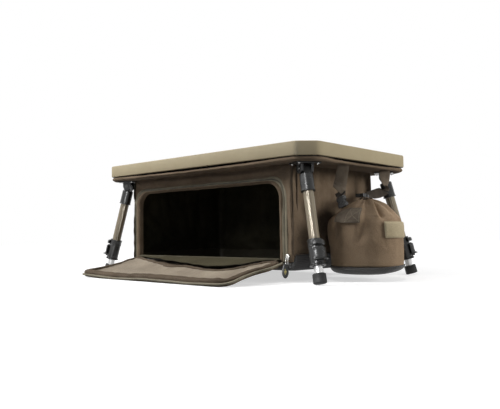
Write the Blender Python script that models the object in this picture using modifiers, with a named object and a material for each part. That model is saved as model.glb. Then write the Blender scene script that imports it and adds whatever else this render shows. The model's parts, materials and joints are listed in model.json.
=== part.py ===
# Bivvy table: a low folding camp table with a zipped storage bag slung under its top,
# four splayed telescopic legs that fold inwards, and a round pouch on its right side.
# Metres, +Z up. The origin is the middle of the table top's upper face; +X runs along
# the long side, and the bag opens towards -Y.

import math

import bmesh
import bpy
from mathutils import Matrix, Vector

gap = 0.0003                      # running gap between neighbouring pieces

# Table top and what is fixed under it
table_length = 0.600
table_depth = 0.354
corner_chamfer = 0.029
rim_height = 0.0255
top_wall = 0.003
corner_round = 0.002
board_thickness = 0.008
hem_inset = 0.004
hem_drop = 0.008                  # how far the bag's top panel shows below the rim

# Leg pivots and brackets
pivot_setback = 0.0420            # from the table's long edges to the pivots
pivot_below_panel = 0.0112
leg_lean = math.radians(14.75)
leg_heading = math.radians(27.33)  # away from the table's middle, measured from the X axis
bracket_plate_width = 0.046
bracket_plate_depth = 0.038
bracket_plate_thickness = 0.003
ear_radius = 0.0098
ear_thickness = 0.0045
pin_radius = 0.0025
pin_head_radius = 0.0042
pin_head_thickness = 0.0012

# Leg pieces, measured along the leg from its pivot
knuckle_radius = 0.0075
knuckle_width = 0.015
collar_top = 0.0109
collar_length = 0.0321
collar_radius = 0.0122
collar_roof = 0.0092
tube_radius = 0.0095
tube_wall = 0.0015
lock_top = 0.1401
lock_length = 0.0340
lock_radius = 0.0125
lock_shelf = 0.0141               # height of the lock's lower, narrower bore
inner_tube_radius = 0.0076
inner_tube_wall = 0.0012
inner_tube_top = 0.0455
inner_tube_in_foot = 0.0113
foot_radius_top = 0.0113
foot_radius_bottom = 0.0120
foot_length = 0.0174
foot_edge = 0.0015
foot_drop = 0.0141                # bare inner tube between the lock and the foot

# Lever of the leg lock, on the leg's outward side
boss_width = 0.0080
boss_reach = 0.0168               # from the leg's axis to the boss's outer face
boss_height = 0.0270
lever_axis_reach = 0.0148
lever_axis_drop = 0.0054          # below the lock's top
lever_length = 0.0218
lever_thickness = 0.0022
lever_cheek = 0.0020
lever_nose_reach = 0.0050
lever_nose_height = 0.0050

# Storage bag
bag_end_setback = 0.0680          # from the table's edges to the bag's walls
bag_front_setback = 0.0400
bag_back_setback = 0.0390
bag_height = 0.1928
bag_wall = 0.003
tray_front_height = 0.0160
tray_side_height = 0.0300
mouth_margin = 0.0200             # from the middle of the zip to the mouth's edge
mouth_height = 0.1400
mouth_round = 0.0350
zip_margin = 0.0090               # from the bag's sides to the middle of the zip
zip_tape_width = 0.0090
zip_tape_thickness = 0.0020
zip_height = 0.1520               # hinge line to the middle of the zip's upper run
zip_round = 0.0400
stiffener_end_margin = 0.0520     # so that the folding legs pass it
stiffener_side_margin = 0.0430
stiffener_thickness = 0.003

# Front door of the bag, lying open on the ground
door_clearance = 0.0013
door_length = 0.1490
door_thickness = 0.006
door_round = 0.0350
door_hinge_reach = 0.0070         # hinge line in front of the bag's front face
door_floor_gap = 0.0008
door_edge_tape = 0.0045
door_edge_tape_thickness = 0.0020
door_binding_width = 0.0100
door_binding_height = 0.0025
door_binding_start = 0.0060
door_lining_thickness = 0.0012
hinge_strip_height = 0.0130

# Zip slider and its puller
slider_width = 0.0080
slider_height = 0.0105
slider_thickness = 0.0042
slider_above_hinge = 0.0040
puller_pivot_rise = 0.0040        # above the slider's lower end
puller_wire = 0.0008
puller_link_length = 0.0110
puller_link_width = 0.0050
puller_width = 0.0100
puller_length = 0.0250
puller_thickness = 0.0028

# Round pouch hung from the right side
pouch_clearance = 0.0040          # between the bag's side and the pouch
pouch_y = -0.0100
pouch_radius = 0.0690
pouch_hang = 0.1988               # panel underside to the pouch's lowest point
pouch_height = 0.1370
pouch_shoulder = 0.0940
pouch_cup_height = 0.0140
pouch_cup_wall = 0.0012
cup_edge = 0.003
pouch_facets = 40
patch_low = 0.0650
patch_high = 0.0930
patch_half_angle = math.radians(32)
patch_thickness = 0.0008
webbing_width = 0.0220
webbing_thickness = 0.0015
front_tab_low = 0.0910
front_tab_height = 0.0260
front_tab_start = math.radians(-67)
front_tab_end = math.radians(-113)
front_tab_lift = 0.0040
back_tab_length = 0.0340
strap_inset = 0.0200              # straps hang inside the pouch's middle line
front_strap_offset = 0.0420       # in front of the pouch's middle
back_strap_setback = 0.0410       # in front of the back pivot
front_strap_run = 0.0160
back_strap_drop = 0.0500
strap_axis_drop = 0.0016
strap_end_rise = 0.0008
buckle_length = 0.0200
buckle_width = 0.0190
buckle_thickness = 0.0070

# Places that follow from the sizes above
bag_half_length = table_length / 2 - bag_end_setback
bag_front = table_depth / 2 - bag_front_setback
bag_back = table_depth / 2 - bag_back_setback
bracket_reach = (bracket_plate_depth / 2 * math.cos(leg_heading)
                 + bracket_plate_width / 2 * math.sin(leg_heading))
pivot_x = bag_half_length + bracket_reach + gap
pivot_y = table_depth / 2 - pivot_setback
zip_half_width = bag_half_length - zip_margin
mouth_half_width = zip_half_width - mouth_margin
stiffener_half_length = bag_half_length - stiffener_end_margin
stiffener_half_depth = bag_front - stiffener_side_margin
pouch_x = bag_half_length + pouch_clearance + pouch_radius
strap_x = pouch_x - strap_inset
front_strap_y = pouch_y - front_strap_offset
back_strap_y = pivot_y - back_strap_setback
panel_z = -(rim_height + hem_drop)
pivot_z = panel_z - pivot_below_panel
lock_bottom = lock_top + lock_length
foot_top = lock_bottom + foot_drop
foot_bottom = foot_top + foot_length
foot_contact_radius = foot_radius_bottom - foot_edge
ground_z = (pivot_z - foot_bottom * math.cos(leg_lean)
            - foot_contact_radius * math.sin(leg_lean))
tray_z = panel_z - bag_height
hinge_z = tray_z + tray_front_height
hinge_y = -(bag_front + door_hinge_reach)
door_half_width = zip_half_width - zip_tape_width / 2 - door_clearance
door_slope = math.asin((hinge_z - ground_z - door_thickness / 2 - door_floor_gap) / door_length)
pouch_z = panel_z - pouch_hang

legs = {
    "front_right": (1, -1),
    "back_right": (1, 1),
    "back_left": (-1, 1),
    "front_left": (-1, -1),
}


def clear_scene():
    for obj in list(bpy.data.objects):
        bpy.data.objects.remove(obj, do_unlink=True)


def new_collection(name):
    collection = bpy.data.collections.new(name)
    bpy.context.scene.collection.children.link(collection)
    return collection


clear_scene()
parts = new_collection("bivvy_table")
cutters = new_collection("cutters")


def material(name, colour, roughness, metallic=0.0):
    mat = bpy.data.materials.new(name)
    mat.use_nodes = True
    shader = mat.node_tree.nodes["Principled BSDF"]
    shader.inputs["Base Color"].default_value = (*colour, 1.0)
    shader.inputs["Roughness"].default_value = roughness
    shader.inputs["Metallic"].default_value = metallic
    mat.diffuse_color = (*colour, 1.0)
    return mat


olive_top = material("olive_top", (0.36, 0.31, 0.20), 0.45)
black_plastic = material("black_plastic", (0.025, 0.025, 0.025), 0.38)
tan_tube = material("tan_tube", (0.52, 0.45, 0.32), 0.25, 0.9)
bare_tube = material("bare_tube", (0.80, 0.80, 0.78), 0.25, 0.9)
rubber = material("rubber", (0.03, 0.03, 0.03), 0.8)
steel = material("steel", (0.60, 0.60, 0.58), 0.3, 1.0)
brown_fabric = material("brown_fabric", (0.14, 0.105, 0.07), 0.9)
dark_webbing = material("dark_webbing", (0.09, 0.07, 0.05), 0.85)
coated_base = material("coated_base", (0.03, 0.03, 0.028), 0.6)
grey_zip = material("grey_zip", (0.11, 0.12, 0.10), 0.7)
beige_lining = material("beige_lining", (0.36, 0.30, 0.23), 0.9)
tan_patch = material("tan_patch", (0.38, 0.32, 0.21), 0.7)


def finish(obj, mat, parent=None, smooth=30):
    """Put a mesh object in the parts collection with its material and smooth shading."""
    for collection in list(obj.users_collection):
        collection.objects.unlink(obj)
    parts.objects.link(obj)
    obj.data.materials.clear()
    obj.data.materials.append(mat)
    obj.parent = parent
    if smooth:
        obj.data.shade_smooth()
        obj.data.set_sharp_from_angle(angle=math.radians(smooth))
    return obj


def object_from(name, bm):
    mesh = bpy.data.meshes.new(name)
    bm.to_mesh(mesh)
    bm.free()
    obj = bpy.data.objects.new(name, mesh)
    parts.objects.link(obj)
    return obj


def box(name, low, high):
    """A box between two corners, its origin left at the frame's origin."""
    bm = bmesh.new()
    bmesh.ops.create_cube(bm, size=1.0)
    size = Vector(high) - Vector(low)
    centre = (Vector(high) + Vector(low)) / 2
    bmesh.ops.scale(bm, vec=size, verts=bm.verts)
    bmesh.ops.translate(bm, vec=centre, verts=bm.verts)
    return object_from(name, bm)


def cylinder(name, radius, low, high, segments=20, axis="Z"):
    """A closed cylinder along one axis, between two positions on it."""
    bm = bmesh.new()
    bmesh.ops.create_cone(bm, cap_ends=True, segments=segments, radius1=radius,
                          radius2=radius, depth=high - low)
    bmesh.ops.translate(bm, vec=(0, 0, (high + low) / 2), verts=bm.verts)
    if axis == "Y":
        bmesh.ops.rotate(bm, matrix=Matrix.Rotation(math.radians(-90), 3, "X"), verts=bm.verts)
    return object_from(name, bm)


def apply_modifiers(obj):
    """Replace an object's mesh by its evaluated mesh and drop the modifiers."""
    graph = bpy.context.evaluated_depsgraph_get()
    mesh = bpy.data.meshes.new_from_object(obj.evaluated_get(graph))
    obj.modifiers.clear()
    obj.data = mesh
    return obj


def cut(obj, tool, operation="DIFFERENCE"):
    """Cut, join or keep what two solids share; the tool goes to the cutters."""
    modifier = obj.modifiers.new(operation.lower(), "BOOLEAN")
    modifier.operation = operation
    modifier.object = tool
    parts.objects.unlink(tool)
    cutters.objects.link(tool)
    tool.hide_render = True
    tool.display_type = "WIRE"
    return obj


def bevel(obj, width, segments=2, angle=40):
    modifier = obj.modifiers.new("bevel", "BEVEL")
    modifier.width = width
    modifier.segments = segments
    modifier.limit_method = "ANGLE"
    modifier.angle_limit = math.radians(angle)
    return obj


def turned(name, profile, steps=28):
    """A turned body. The profile is (radius, height) pairs, down the outer side."""
    bm = bmesh.new()
    verts = [bm.verts.new((radius, 0, height)) for radius, height in profile]
    closed = profile[0][0] > 0
    for first, second in zip(verts, verts[1:] + verts[:1] if closed else verts[1:]):
        bm.edges.new((first, second))
    obj = object_from(name, bm)
    screw = obj.modifiers.new("screw", "SCREW")
    screw.steps = steps
    screw.render_steps = steps
    screw.use_merge_vertices = True
    screw.merge_threshold = 0.00005
    return obj


def extruded(name, outline, low, high, plane="XZ"):
    """A flat outline extruded between two positions, as a welded mesh."""
    curve = bpy.data.curves.new(name, "CURVE")
    curve.dimensions = "2D"
    curve.fill_mode = "BOTH"
    curve.extrude = (high - low) / 2
    spline = curve.splines.new("POLY")
    spline.points.add(len(outline) - 1)
    for point, (u, v) in zip(spline.points, outline):
        point.co = (u, v, 0, 1)
    spline.use_cyclic_u = True
    source = bpy.data.objects.new(name, curve)
    parts.objects.link(source)
    mesh = bpy.data.meshes.new_from_object(
        source.evaluated_get(bpy.context.evaluated_depsgraph_get()))
    bpy.data.objects.remove(source, do_unlink=True)
    bm = bmesh.new()
    bm.from_mesh(mesh)
    bmesh.ops.remove_doubles(bm, verts=bm.verts, dist=0.00001)
    bmesh.ops.translate(bm, vec=(0, 0, (high + low) / 2), verts=bm.verts)
    if plane == "XZ":
        bmesh.ops.rotate(bm, matrix=Matrix.Rotation(math.radians(90), 3, "X"), verts=bm.verts)
        bmesh.ops.scale(bm, vec=(1, -1, 1), verts=bm.verts)
    bmesh.ops.recalc_face_normals(bm, faces=bm.faces)
    return object_from(name, bm)


def arc(centre, radius, start, end, count):
    """Points along an arc, with the angles in degrees."""
    points = []
    for i in range(count + 1):
        angle = math.radians(start + (end - start) * i / count)
        points.append((centre[0] + radius * math.cos(angle), centre[1] + radius * math.sin(angle)))
    return points


def arch(half_width, height, radius, count=6):
    """An arch outline from its right foot over the top to its left foot."""
    right = arc((half_width - radius, height - radius), radius, 0, 90, count)
    left = arc((radius - half_width, height - radius), radius, 90, 180, count)
    return [(half_width, 0), *right, *left, (-half_width, 0)]


def arch_band(name, half_width, height, radius, width, low, high):
    """A flat band bent into an arch, centred on the given line, open at the bottom."""
    outer = arch(half_width + width / 2, height + width / 2, radius + width / 2)
    inner = arch(half_width - width / 2, height - width / 2, radius - width / 2)
    return extruded(name, outer + inner[::-1], low, high)


def shift(obj, offset):
    obj.data.transform(Matrix.Translation(offset))
    return obj


def chamfered_slab(name, half_length, half_depth, chamfer, low, high):
    """A slab with its four upright corners chamfered."""
    obj = box(name, (-half_length, -half_depth, low), (half_length, half_depth, high))
    bm = bmesh.new()
    bm.from_mesh(obj.data)
    upright = [e for e in bm.edges if abs(e.verts[0].co.z - e.verts[1].co.z) > 0.5 * (high - low)]
    bmesh.ops.bevel(bm, geom=upright, offset=chamfer, segments=1, affect="EDGES")
    bm.to_mesh(obj.data)
    bm.free()
    return obj


def sheet(name, rows, columns, place, thickness, offset=0.0):
    """A thin sheet: a grid placed by a rule on its two shares, then given its thickness."""
    bm = bmesh.new()
    bmesh.ops.create_grid(bm, x_segments=columns, y_segments=rows, size=0.5)
    for vert in bm.verts:
        vert.co = place(vert.co.x + 0.5, vert.co.y + 0.5)
    obj = object_from(name, bm)
    solidify = obj.modifiers.new("solidify", "SOLIDIFY")
    solidify.thickness = thickness
    solidify.offset = offset
    return obj


def empty(name, location, parent=None, rotation=(0, 0, 0)):
    obj = bpy.data.objects.new(name, None)
    obj.empty_display_size = 0.02
    obj.location = location
    obj.rotation_euler = rotation
    obj.parent = parent
    parts.objects.link(obj)
    return obj


def inset_chamfer(inset):
    return corner_chamfer - inset * (2 - math.sqrt(2))


def make_table():
    half_length = table_length / 2
    half_depth = table_depth / 2
    top = chamfered_slab("table_top", half_length, half_depth, corner_chamfer, -rim_height, 0)
    bevel(top, corner_round, 2, 30)
    cut(top, chamfered_slab("top_hollow", half_length - top_wall, half_depth - top_wall,
                            inset_chamfer(top_wall), -rim_height * 2, -top_wall))
    apply_modifiers(top)
    finish(top, olive_top)

    inset = top_wall + gap
    board = chamfered_slab("under_board", half_length - inset, half_depth - inset,
                           inset_chamfer(inset), -rim_height, -rim_height + board_thickness)
    finish(board, black_plastic)

    panel = chamfered_slab("bag_panel", half_length - hem_inset, half_depth - hem_inset,
                           inset_chamfer(hem_inset), panel_z, -rim_height - gap)
    bevel(panel, 0.0032, 3, 30)
    finish(panel, brown_fabric)


def make_bracket(name, sx, sy):
    """A leg's bracket and pivot pin, square to the leg's fold."""
    heading = math.atan2(sy * math.sin(leg_heading), sx * math.cos(leg_heading))
    mount = empty("bracket_mount_" + name, (sx * pivot_x, sy * pivot_y, pivot_z),
                  rotation=(0, 0, heading))
    plate_top = pivot_below_panel - gap
    plate_bottom = plate_top - bracket_plate_thickness
    plate = box("bracket_" + name,
                (-bracket_plate_depth / 2, -bracket_plate_width / 2, plate_bottom),
                (bracket_plate_depth / 2, bracket_plate_width / 2, plate_top))
    overlap = 0.001
    ear_outline = [(-ear_radius, plate_bottom + overlap)]
    ear_outline += arc((0, 0), ear_radius, 180, 360, 12)
    ear_outline += [(ear_radius, plate_bottom + overlap)]
    inner = knuckle_width / 2 + gap
    for side in (-1, 1):
        low, high = sorted((side * inner, side * (inner + ear_thickness)))
        cut(plate, extruded("ear", ear_outline, low, high), "UNION")
    cut(plate, cylinder("pin_hole", pin_radius + gap, -0.05, 0.05, 16, "Y"))
    apply_modifiers(plate)
    bevel(plate, 0.0006, 1, 60)
    finish(plate, black_plastic, mount)

    reach = knuckle_width / 2 + gap + ear_thickness + gap
    half_profile = [(0, reach + pin_head_thickness), (pin_head_radius, reach + pin_head_thickness),
                    (pin_head_radius, reach), (pin_radius, reach)]
    mirrored = [(radius, -height) for radius, height in reversed(half_profile)]
    pin = turned("pivot_pin_" + name, half_profile + mirrored, 16)
    apply_modifiers(pin)
    pin.data.transform(Matrix.Rotation(math.radians(90), 4, "X"))
    finish(pin, steel, mount)


def make_leg(name, sx, sy):
    """One leg in its own frame: the pivot at the origin and the foot along -Z."""
    heading = math.atan2(sy * math.sin(leg_heading), sx * math.cos(leg_heading))
    fold = empty("leg_fold_" + name, (sx * pivot_x, sy * pivot_y, pivot_z),
                 rotation=(0, -leg_lean, heading))

    tube_bore = tube_radius + gap
    roof = collar_top + collar_roof
    collar_bottom = collar_top + collar_length
    collar = turned("leg_collar_" + name, [
        (0, -collar_top), (collar_radius - 0.001, -collar_top), (collar_radius, -collar_top - 0.001),
        (collar_radius, -collar_bottom + 0.0006), (collar_radius - 0.0006, -collar_bottom),
        (tube_bore, -collar_bottom), (tube_bore, -roof), (0, -roof)])
    neck = collar_top + 0.001
    outline = [(knuckle_radius, -neck), *arc((0, 0), knuckle_radius, 0, 180, 12),
               (-knuckle_radius, -neck)]
    cut(collar, extruded("knuckle", outline, -knuckle_width / 2, knuckle_width / 2), "UNION")
    cut(collar, cylinder("knuckle_hole", pin_radius + gap, -0.05, 0.05, 16, "Y"))
    apply_modifiers(collar)
    finish(collar, black_plastic, fold)

    shelf = lock_bottom - lock_shelf
    tube_inner = tube_radius - tube_wall
    tube = turned("leg_tube_" + name, [
        (tube_radius, -roof - gap), (tube_radius, -shelf + gap),
        (tube_inner, -shelf + gap), (tube_inner, -roof - gap)])
    apply_modifiers(tube)
    finish(tube, tan_tube, fold)

    narrow_bore = inner_tube_radius + gap
    lock = turned("leg_lock_" + name, [
        (tube_bore, -lock_top), (lock_radius - 0.0008, -lock_top),
        (lock_radius, -lock_top - 0.0008), (lock_radius, -lock_bottom + 0.0008),
        (lock_radius - 0.0008, -lock_bottom), (narrow_bore, -lock_bottom),
        (narrow_bore, -shelf), (tube_bore, -shelf)])
    corner = boss_reach - lever_axis_reach
    axis_z = -lock_top - lever_axis_drop
    boss_in = tube_bore + 0.0012
    outline = [(boss_in, axis_z + corner), (lever_axis_reach, axis_z + corner),
               *arc((lever_axis_reach, axis_z), corner, 60, 0, 4),
               (boss_reach, axis_z + corner - boss_height),
               (boss_in, axis_z + corner - boss_height)]
    cut(lock, extruded("boss", outline, -boss_width / 2, boss_width / 2), "UNION")
    apply_modifiers(lock)
    finish(lock, black_plastic, fold)

    hinge = empty("lever_hinge_" + name, (lever_axis_reach, 0, axis_z), fold)
    web_in = boss_reach - lever_axis_reach + gap
    web_out = web_in + lever_thickness
    nose_out = web_out + lever_nose_reach
    cheek_in = -lever_axis_reach + lock_radius + gap
    outline = [*arc((0, 0), corner, 180, 35, 6), (web_in, corner * 0.55),
               (web_out - lever_thickness * 0.4, corner * 0.5), (web_out, corner * 0.2),
               (web_out, -lever_length + lever_nose_height),
               (nose_out - 0.001, -lever_length + lever_nose_height),
               (nose_out, -lever_length + lever_nose_height - 0.0012),
               (nose_out, -lever_length + 0.0012), (nose_out - 0.001, -lever_length),
               (web_in, -lever_length), (web_in, -corner - lever_cheek),
               (cheek_in, -corner - lever_cheek)]
    half_width = boss_width / 2 + gap + lever_cheek
    lever = extruded("lock_lever_" + name, outline, -half_width, half_width)
    slot = box("lever_slot", (-0.02, -boss_width / 2 - gap, -0.05),
               (web_in, boss_width / 2 + gap, 0.05))
    cut(lever, slot)
    apply_modifiers(lever)
    finish(lever, black_plastic, hinge)

    slide = empty("foot_slide_" + name, (0, 0, 0), fold)
    tube_end = foot_top + inner_tube_in_foot
    inner_wall = inner_tube_radius - inner_tube_wall
    inner = turned("inner_tube_" + name, [
        (inner_tube_radius, -inner_tube_top), (inner_tube_radius, -tube_end),
        (inner_wall, -tube_end), (inner_wall, -inner_tube_top)])
    apply_modifiers(inner)
    finish(inner, bare_tube, slide)

    foot = turned("foot_" + name, [
        (narrow_bore, -foot_top), (foot_radius_top - 0.001, -foot_top),
        (foot_radius_top, -foot_top - 0.001), (foot_radius_bottom, -foot_bottom + foot_edge),
        (foot_contact_radius, -foot_bottom), (0, -foot_bottom),
        (0, -tube_end - gap), (narrow_bore, -tube_end - gap)])
    apply_modifiers(foot)
    finish(foot, rubber, slide)


def make_bag():
    wall_low = tray_z + tray_side_height + gap
    wall_high = panel_z - gap
    inner_front = -bag_front + bag_wall
    inner_back = bag_back - bag_wall
    for name, sx in (("left", -1), ("right", 1)):
        low, high = sorted((sx * (bag_half_length - bag_wall), sx * bag_half_length))
        side = box("bag_side_" + name, (low, inner_front + gap, wall_low),
                   (high, inner_back - gap, wall_high))
        finish(side, brown_fabric)
    back = box("bag_back", (-bag_half_length, inner_back, wall_low),
               (bag_half_length, bag_back, wall_high))
    finish(back, brown_fabric)

    # The front wall is an arch round the bag's mouth, standing on the tray's low front.
    foot_z = hinge_z + gap
    rise = wall_high - foot_z
    outline = [(-bag_half_length, 0), (-bag_half_length, rise), (bag_half_length, rise),
               (bag_half_length, 0), *arch(mouth_half_width, mouth_height, mouth_round)]
    front = extruded("bag_front", outline, -bag_wall, 0)
    shift(front, (0, -bag_front + bag_wall, foot_z))
    finish(front, brown_fabric)

    tray = box("bag_tray", (-bag_half_length, -bag_front, tray_z),
               (bag_half_length, bag_back, tray_z + tray_side_height))
    hollow = box("tray_hollow", (-bag_half_length + bag_wall, inner_front, tray_z + bag_wall),
                 (bag_half_length - bag_wall, inner_back, 0))
    cut(tray, hollow)
    low_front = box("tray_low_front", (-bag_half_length - 0.01, -bag_front - 0.01, hinge_z),
                    (bag_half_length + 0.01, inner_front + gap, 0))
    cut(tray, low_front)
    apply_modifiers(tray)
    bevel(tray, bag_wall * 0.4, 2, 60)
    finish(tray, coated_base)

    stiffener_z = tray_z + bag_wall + gap
    stiffener = box("base_stiffener",
                    (-stiffener_half_length, -stiffener_half_depth, stiffener_z),
                    (stiffener_half_length, stiffener_half_depth,
                     stiffener_z + stiffener_thickness))
    bevel(stiffener, 0.0008, 1)
    finish(stiffener, black_plastic)

    tape = arch_band("zip_tape", zip_half_width, zip_height, zip_round, zip_tape_width,
                     0, zip_tape_thickness)
    shift(tape, (0, -bag_front - gap - zip_tape_thickness, foot_z))
    finish(tape, grey_zip)



def make_door():
    """The door in its own frame: the hinge along X at the origin and the door along -Y."""
    hinge = empty("door_hinge", (0, hinge_y, hinge_z), rotation=(door_slope, 0, 0))
    half_thickness = door_thickness / 2
    panel_half = door_half_width - door_edge_tape - gap
    panel_length = door_length - door_edge_tape - gap
    outline = arch(panel_half, panel_length, door_round - door_edge_tape)
    panel = extruded("door_panel", [(x, -y) for x, y in outline],
                     -half_thickness, half_thickness, "XY")
    rounded = cylinder("door_hinge_edge", half_thickness, -panel_half, panel_half, 12, "Y")
    rounded.data.transform(Matrix.Rotation(math.radians(90), 4, "Z"))
    cut(panel, rounded, "UNION")
    apply_modifiers(panel)
    finish(panel, brown_fabric, hinge)

    tape_line = door_edge_tape / 2
    tape = arch_band("door_zip_tape", door_half_width - tape_line, door_length - tape_line,
                     door_round - tape_line, door_edge_tape,
                     -door_edge_tape_thickness / 2, door_edge_tape_thickness / 2)
    lay_flat(tape)
    finish(tape, grey_zip, hinge)

    binding_line = door_binding_width / 2
    binding = arch_band("door_binding", panel_half - binding_line,
                        panel_length - binding_line - door_binding_start,
                        door_round - door_edge_tape - binding_line, door_binding_width,
                        0, door_binding_height)
    lay_flat(binding)
    shift(binding, (0, -door_binding_start, half_thickness + gap))
    finish(binding, brown_fabric, hinge)

    lining_half = panel_half - door_binding_width - gap
    lining_length = panel_length - door_binding_start - door_binding_width - gap
    outline = arch(lining_half, lining_length,
                   door_round - door_edge_tape - door_binding_width)
    lining = extruded("door_lining", [(x, -y - door_binding_start) for x, y in outline],
                      half_thickness + gap, half_thickness + gap + door_lining_thickness, "XY")
    finish(lining, beige_lining, hinge)

    back = -bag_front - gap
    front = hinge_y + half_thickness + gap
    strip = box("door_hinge_strip",
                (-panel_half, front, hinge_z + gap + 0.001 - hinge_strip_height),
                (panel_half, back, hinge_z + gap + 0.001))
    finish(strip, brown_fabric)


def lay_flat(obj):
    """Turn an upright arch so that its top points along -Y and its face looks up."""
    obj.data.transform(Matrix.Rotation(math.radians(90), 4, "X"))
    return obj


def make_zip_pull():
    face = -bag_front - gap - zip_tape_thickness - gap
    base = hinge_z + slider_above_hinge
    middle = face - slider_thickness / 2
    slide = empty("slider_run", (zip_half_width, middle, base))
    half = slider_width / 2
    outline = [(-half * 0.6, 0), (half * 0.6, 0), (half, slider_height * 0.55),
               (half * 0.7, slider_height), (-half * 0.7, slider_height),
               (-half, slider_height * 0.55)]
    slider = extruded("zip_slider", outline, -slider_thickness / 2, slider_thickness / 2)
    bevel(slider, 0.0005, 1)
    finish(slider, steel, slide)

    pivot_y_place = face - slider_thickness - gap - puller_wire
    swing = empty("puller_swing", (zip_half_width, pivot_y_place, base + puller_pivot_rise))
    half_link = puller_link_width / 2
    curve = bpy.data.curves.new("puller_link", "CURVE")
    curve.dimensions = "3D"
    curve.bevel_depth = puller_wire
    curve.bevel_resolution = 1
    curve.resolution_u = 1
    spline = curve.splines.new("POLY")
    ring = arc((0, -half_link), half_link, 0, 180, 6)
    ring += [(-half_link, -puller_link_length), (half_link, -puller_link_length)]
    spline.points.add(len(ring) - 1)
    for point, (x, z) in zip(spline.points, ring):
        point.co = (x, 0, z, 1)
    spline.use_cyclic_u = True
    link = bpy.data.objects.new("puller_link", curve)
    parts.objects.link(link)
    mesh = bpy.data.meshes.new_from_object(
        link.evaluated_get(bpy.context.evaluated_depsgraph_get()))
    bpy.data.objects.remove(link, do_unlink=True)
    link = bpy.data.objects.new("puller_link", mesh)
    parts.objects.link(link)
    finish(link, steel, swing)

    top = -puller_link_length - puller_wire - gap
    half = puller_width / 2
    outline = [(-half * 0.55, top), (half * 0.55, top), (half, top - puller_length * 0.42),
               (0, top - puller_length), (-half, top - puller_length * 0.42)]
    tag = extruded("zip_puller", outline, -puller_thickness / 2, puller_thickness / 2)
    bevel(tag, 0.0007, 2)
    finish(tag, black_plastic, swing)


def pouch_profile():
    """Radius and height of the pouch's cloth, from its drawn top down to its flat base."""
    points = []
    for share in (0, 0.26, 0.48, 0.64, 0.77, 0.87, 0.95, 1.0):
        points.append((pouch_radius * share, crown_height(pouch_radius * share)))
    points.append((pouch_radius, pouch_cup_wall + gap + 0.004))
    points.append((pouch_radius - 0.003, pouch_cup_wall + gap))
    points.append((0, pouch_cup_wall + gap))
    return points


def crown_height(radius):
    """The height of the pouch's drawn-in crown above its base."""
    return pouch_shoulder + (pouch_height - pouch_shoulder) * (1 - (radius / pouch_radius) ** 2.6)


def pouch_surface(height):
    """The cloth's radius at a height above the pouch's base."""
    points = pouch_profile()
    for (r1, h1), (r2, h2) in zip(points, points[1:]):
        if h1 >= height >= h2 and h1 > h2:
            share = (h1 - height) / (h1 - h2)
            return r1 + (r2 - r1) * share
    return pouch_radius


def ribbon(name, path, across, width, thickness, rows=4):
    """Webbing along a smooth path: at each stop its middle and the way its width runs."""
    stops = len(path) - 1

    def place(u, v):
        share = u * stops
        i = min(int(share), stops - 1)
        t = share - i
        middle = smooth_between(path, i, t)
        side = across[i].lerp(across[i + 1], t).normalized()
        return middle + side * (v - 0.5) * width

    return sheet(name, 1, stops * rows, place, thickness)


def smooth_between(points, i, t):
    """A point between stops i and i + 1 of a Catmull-Rom curve through all stops."""
    before = points[i - 1] if i > 0 else points[0] * 2 - points[1]
    start, end = points[i], points[i + 1]
    after = points[i + 2] if i + 2 < len(points) else points[-1] * 2 - points[-2]
    return (start * 2 + (end - before) * t
            + (before * 2 - start * 5 + end * 4 - after) * t ** 2
            + (start * 3 - before - end * 3 + after) * t ** 3) / 2


def buckle(name, centre, turn, parent):
    """A side-release buckle, its length along its own Z before the turn."""
    half_width = buckle_width / 2
    half_length = buckle_length / 2
    waist = half_width * 0.72
    outline = [(-half_width, -half_length), (half_width, -half_length),
               (half_width, -half_length * 0.35), (waist, 0), (half_width, half_length * 0.35),
               (half_width * 0.9, half_length), (-half_width * 0.9, half_length),
               (-half_width, half_length * 0.35), (-waist, 0),
               (-half_width, -half_length * 0.35)]
    obj = extruded(name, outline, -buckle_thickness / 2, buckle_thickness / 2)
    bevel(obj, 0.0012, 2)
    apply_modifiers(obj)
    obj.data.transform(Matrix.Translation(centre) @ turn)
    return finish(obj, black_plastic, parent)


def make_pouch():
    swing = empty("pouch_swing", (strap_x, 0, panel_z - strap_axis_drop))
    centre = Vector((pouch_x - strap_x, pouch_y, pouch_z - swing.location.z))

    body = turned("pouch_body", pouch_profile(), pouch_facets)
    apply_modifiers(body)
    body.data.transform(Matrix.Translation(centre))
    finish(body, brown_fabric, swing)

    cup_in = pouch_radius + gap
    cup_out = cup_in + pouch_cup_wall
    cup = turned("pouch_cup", [
        (cup_in, pouch_cup_height), (cup_out, pouch_cup_height), (cup_out, cup_edge),
        (cup_out - cup_edge, 0), (0, 0), (0, pouch_cup_wall),
        (cup_in - cup_edge, pouch_cup_wall), (cup_in, pouch_cup_wall + cup_edge)],
        pouch_facets)
    apply_modifiers(cup)
    cup.data.transform(Matrix.Translation(centre))
    finish(cup, coated_base, swing)

    facet = 1 / math.cos(math.pi / pouch_facets)

    def on_cloth(azimuth, height, lift):
        radius = pouch_surface(height) * facet + gap + lift
        return centre + Vector((radius * math.cos(azimuth), radius * math.sin(azimuth), height))

    def place_patch(u, v):
        angle = patch_half_angle * (2 * u - 1)
        return on_cloth(angle, patch_low + (patch_high - patch_low) * v, patch_thickness)

    patch = sheet("pouch_patch", 1, 10, place_patch, patch_thickness)
    finish(patch, tan_patch, swing)

    def place_front_tab(u, v):
        free = max(0.0, (u - 0.6) / 0.4)
        angle = front_tab_start + (front_tab_end - front_tab_start) * u
        return on_cloth(angle, front_tab_low + front_tab_height * v,
                        webbing_thickness + front_tab_lift * free ** 2)

    front_tab = sheet("pouch_tab_front", 6, 10, place_front_tab, webbing_thickness)
    finish(front_tab, dark_webbing, swing)
    make_front_strap(swing, place_front_tab(0.9, 1.0))
    make_back_strap(swing, centre)


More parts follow.
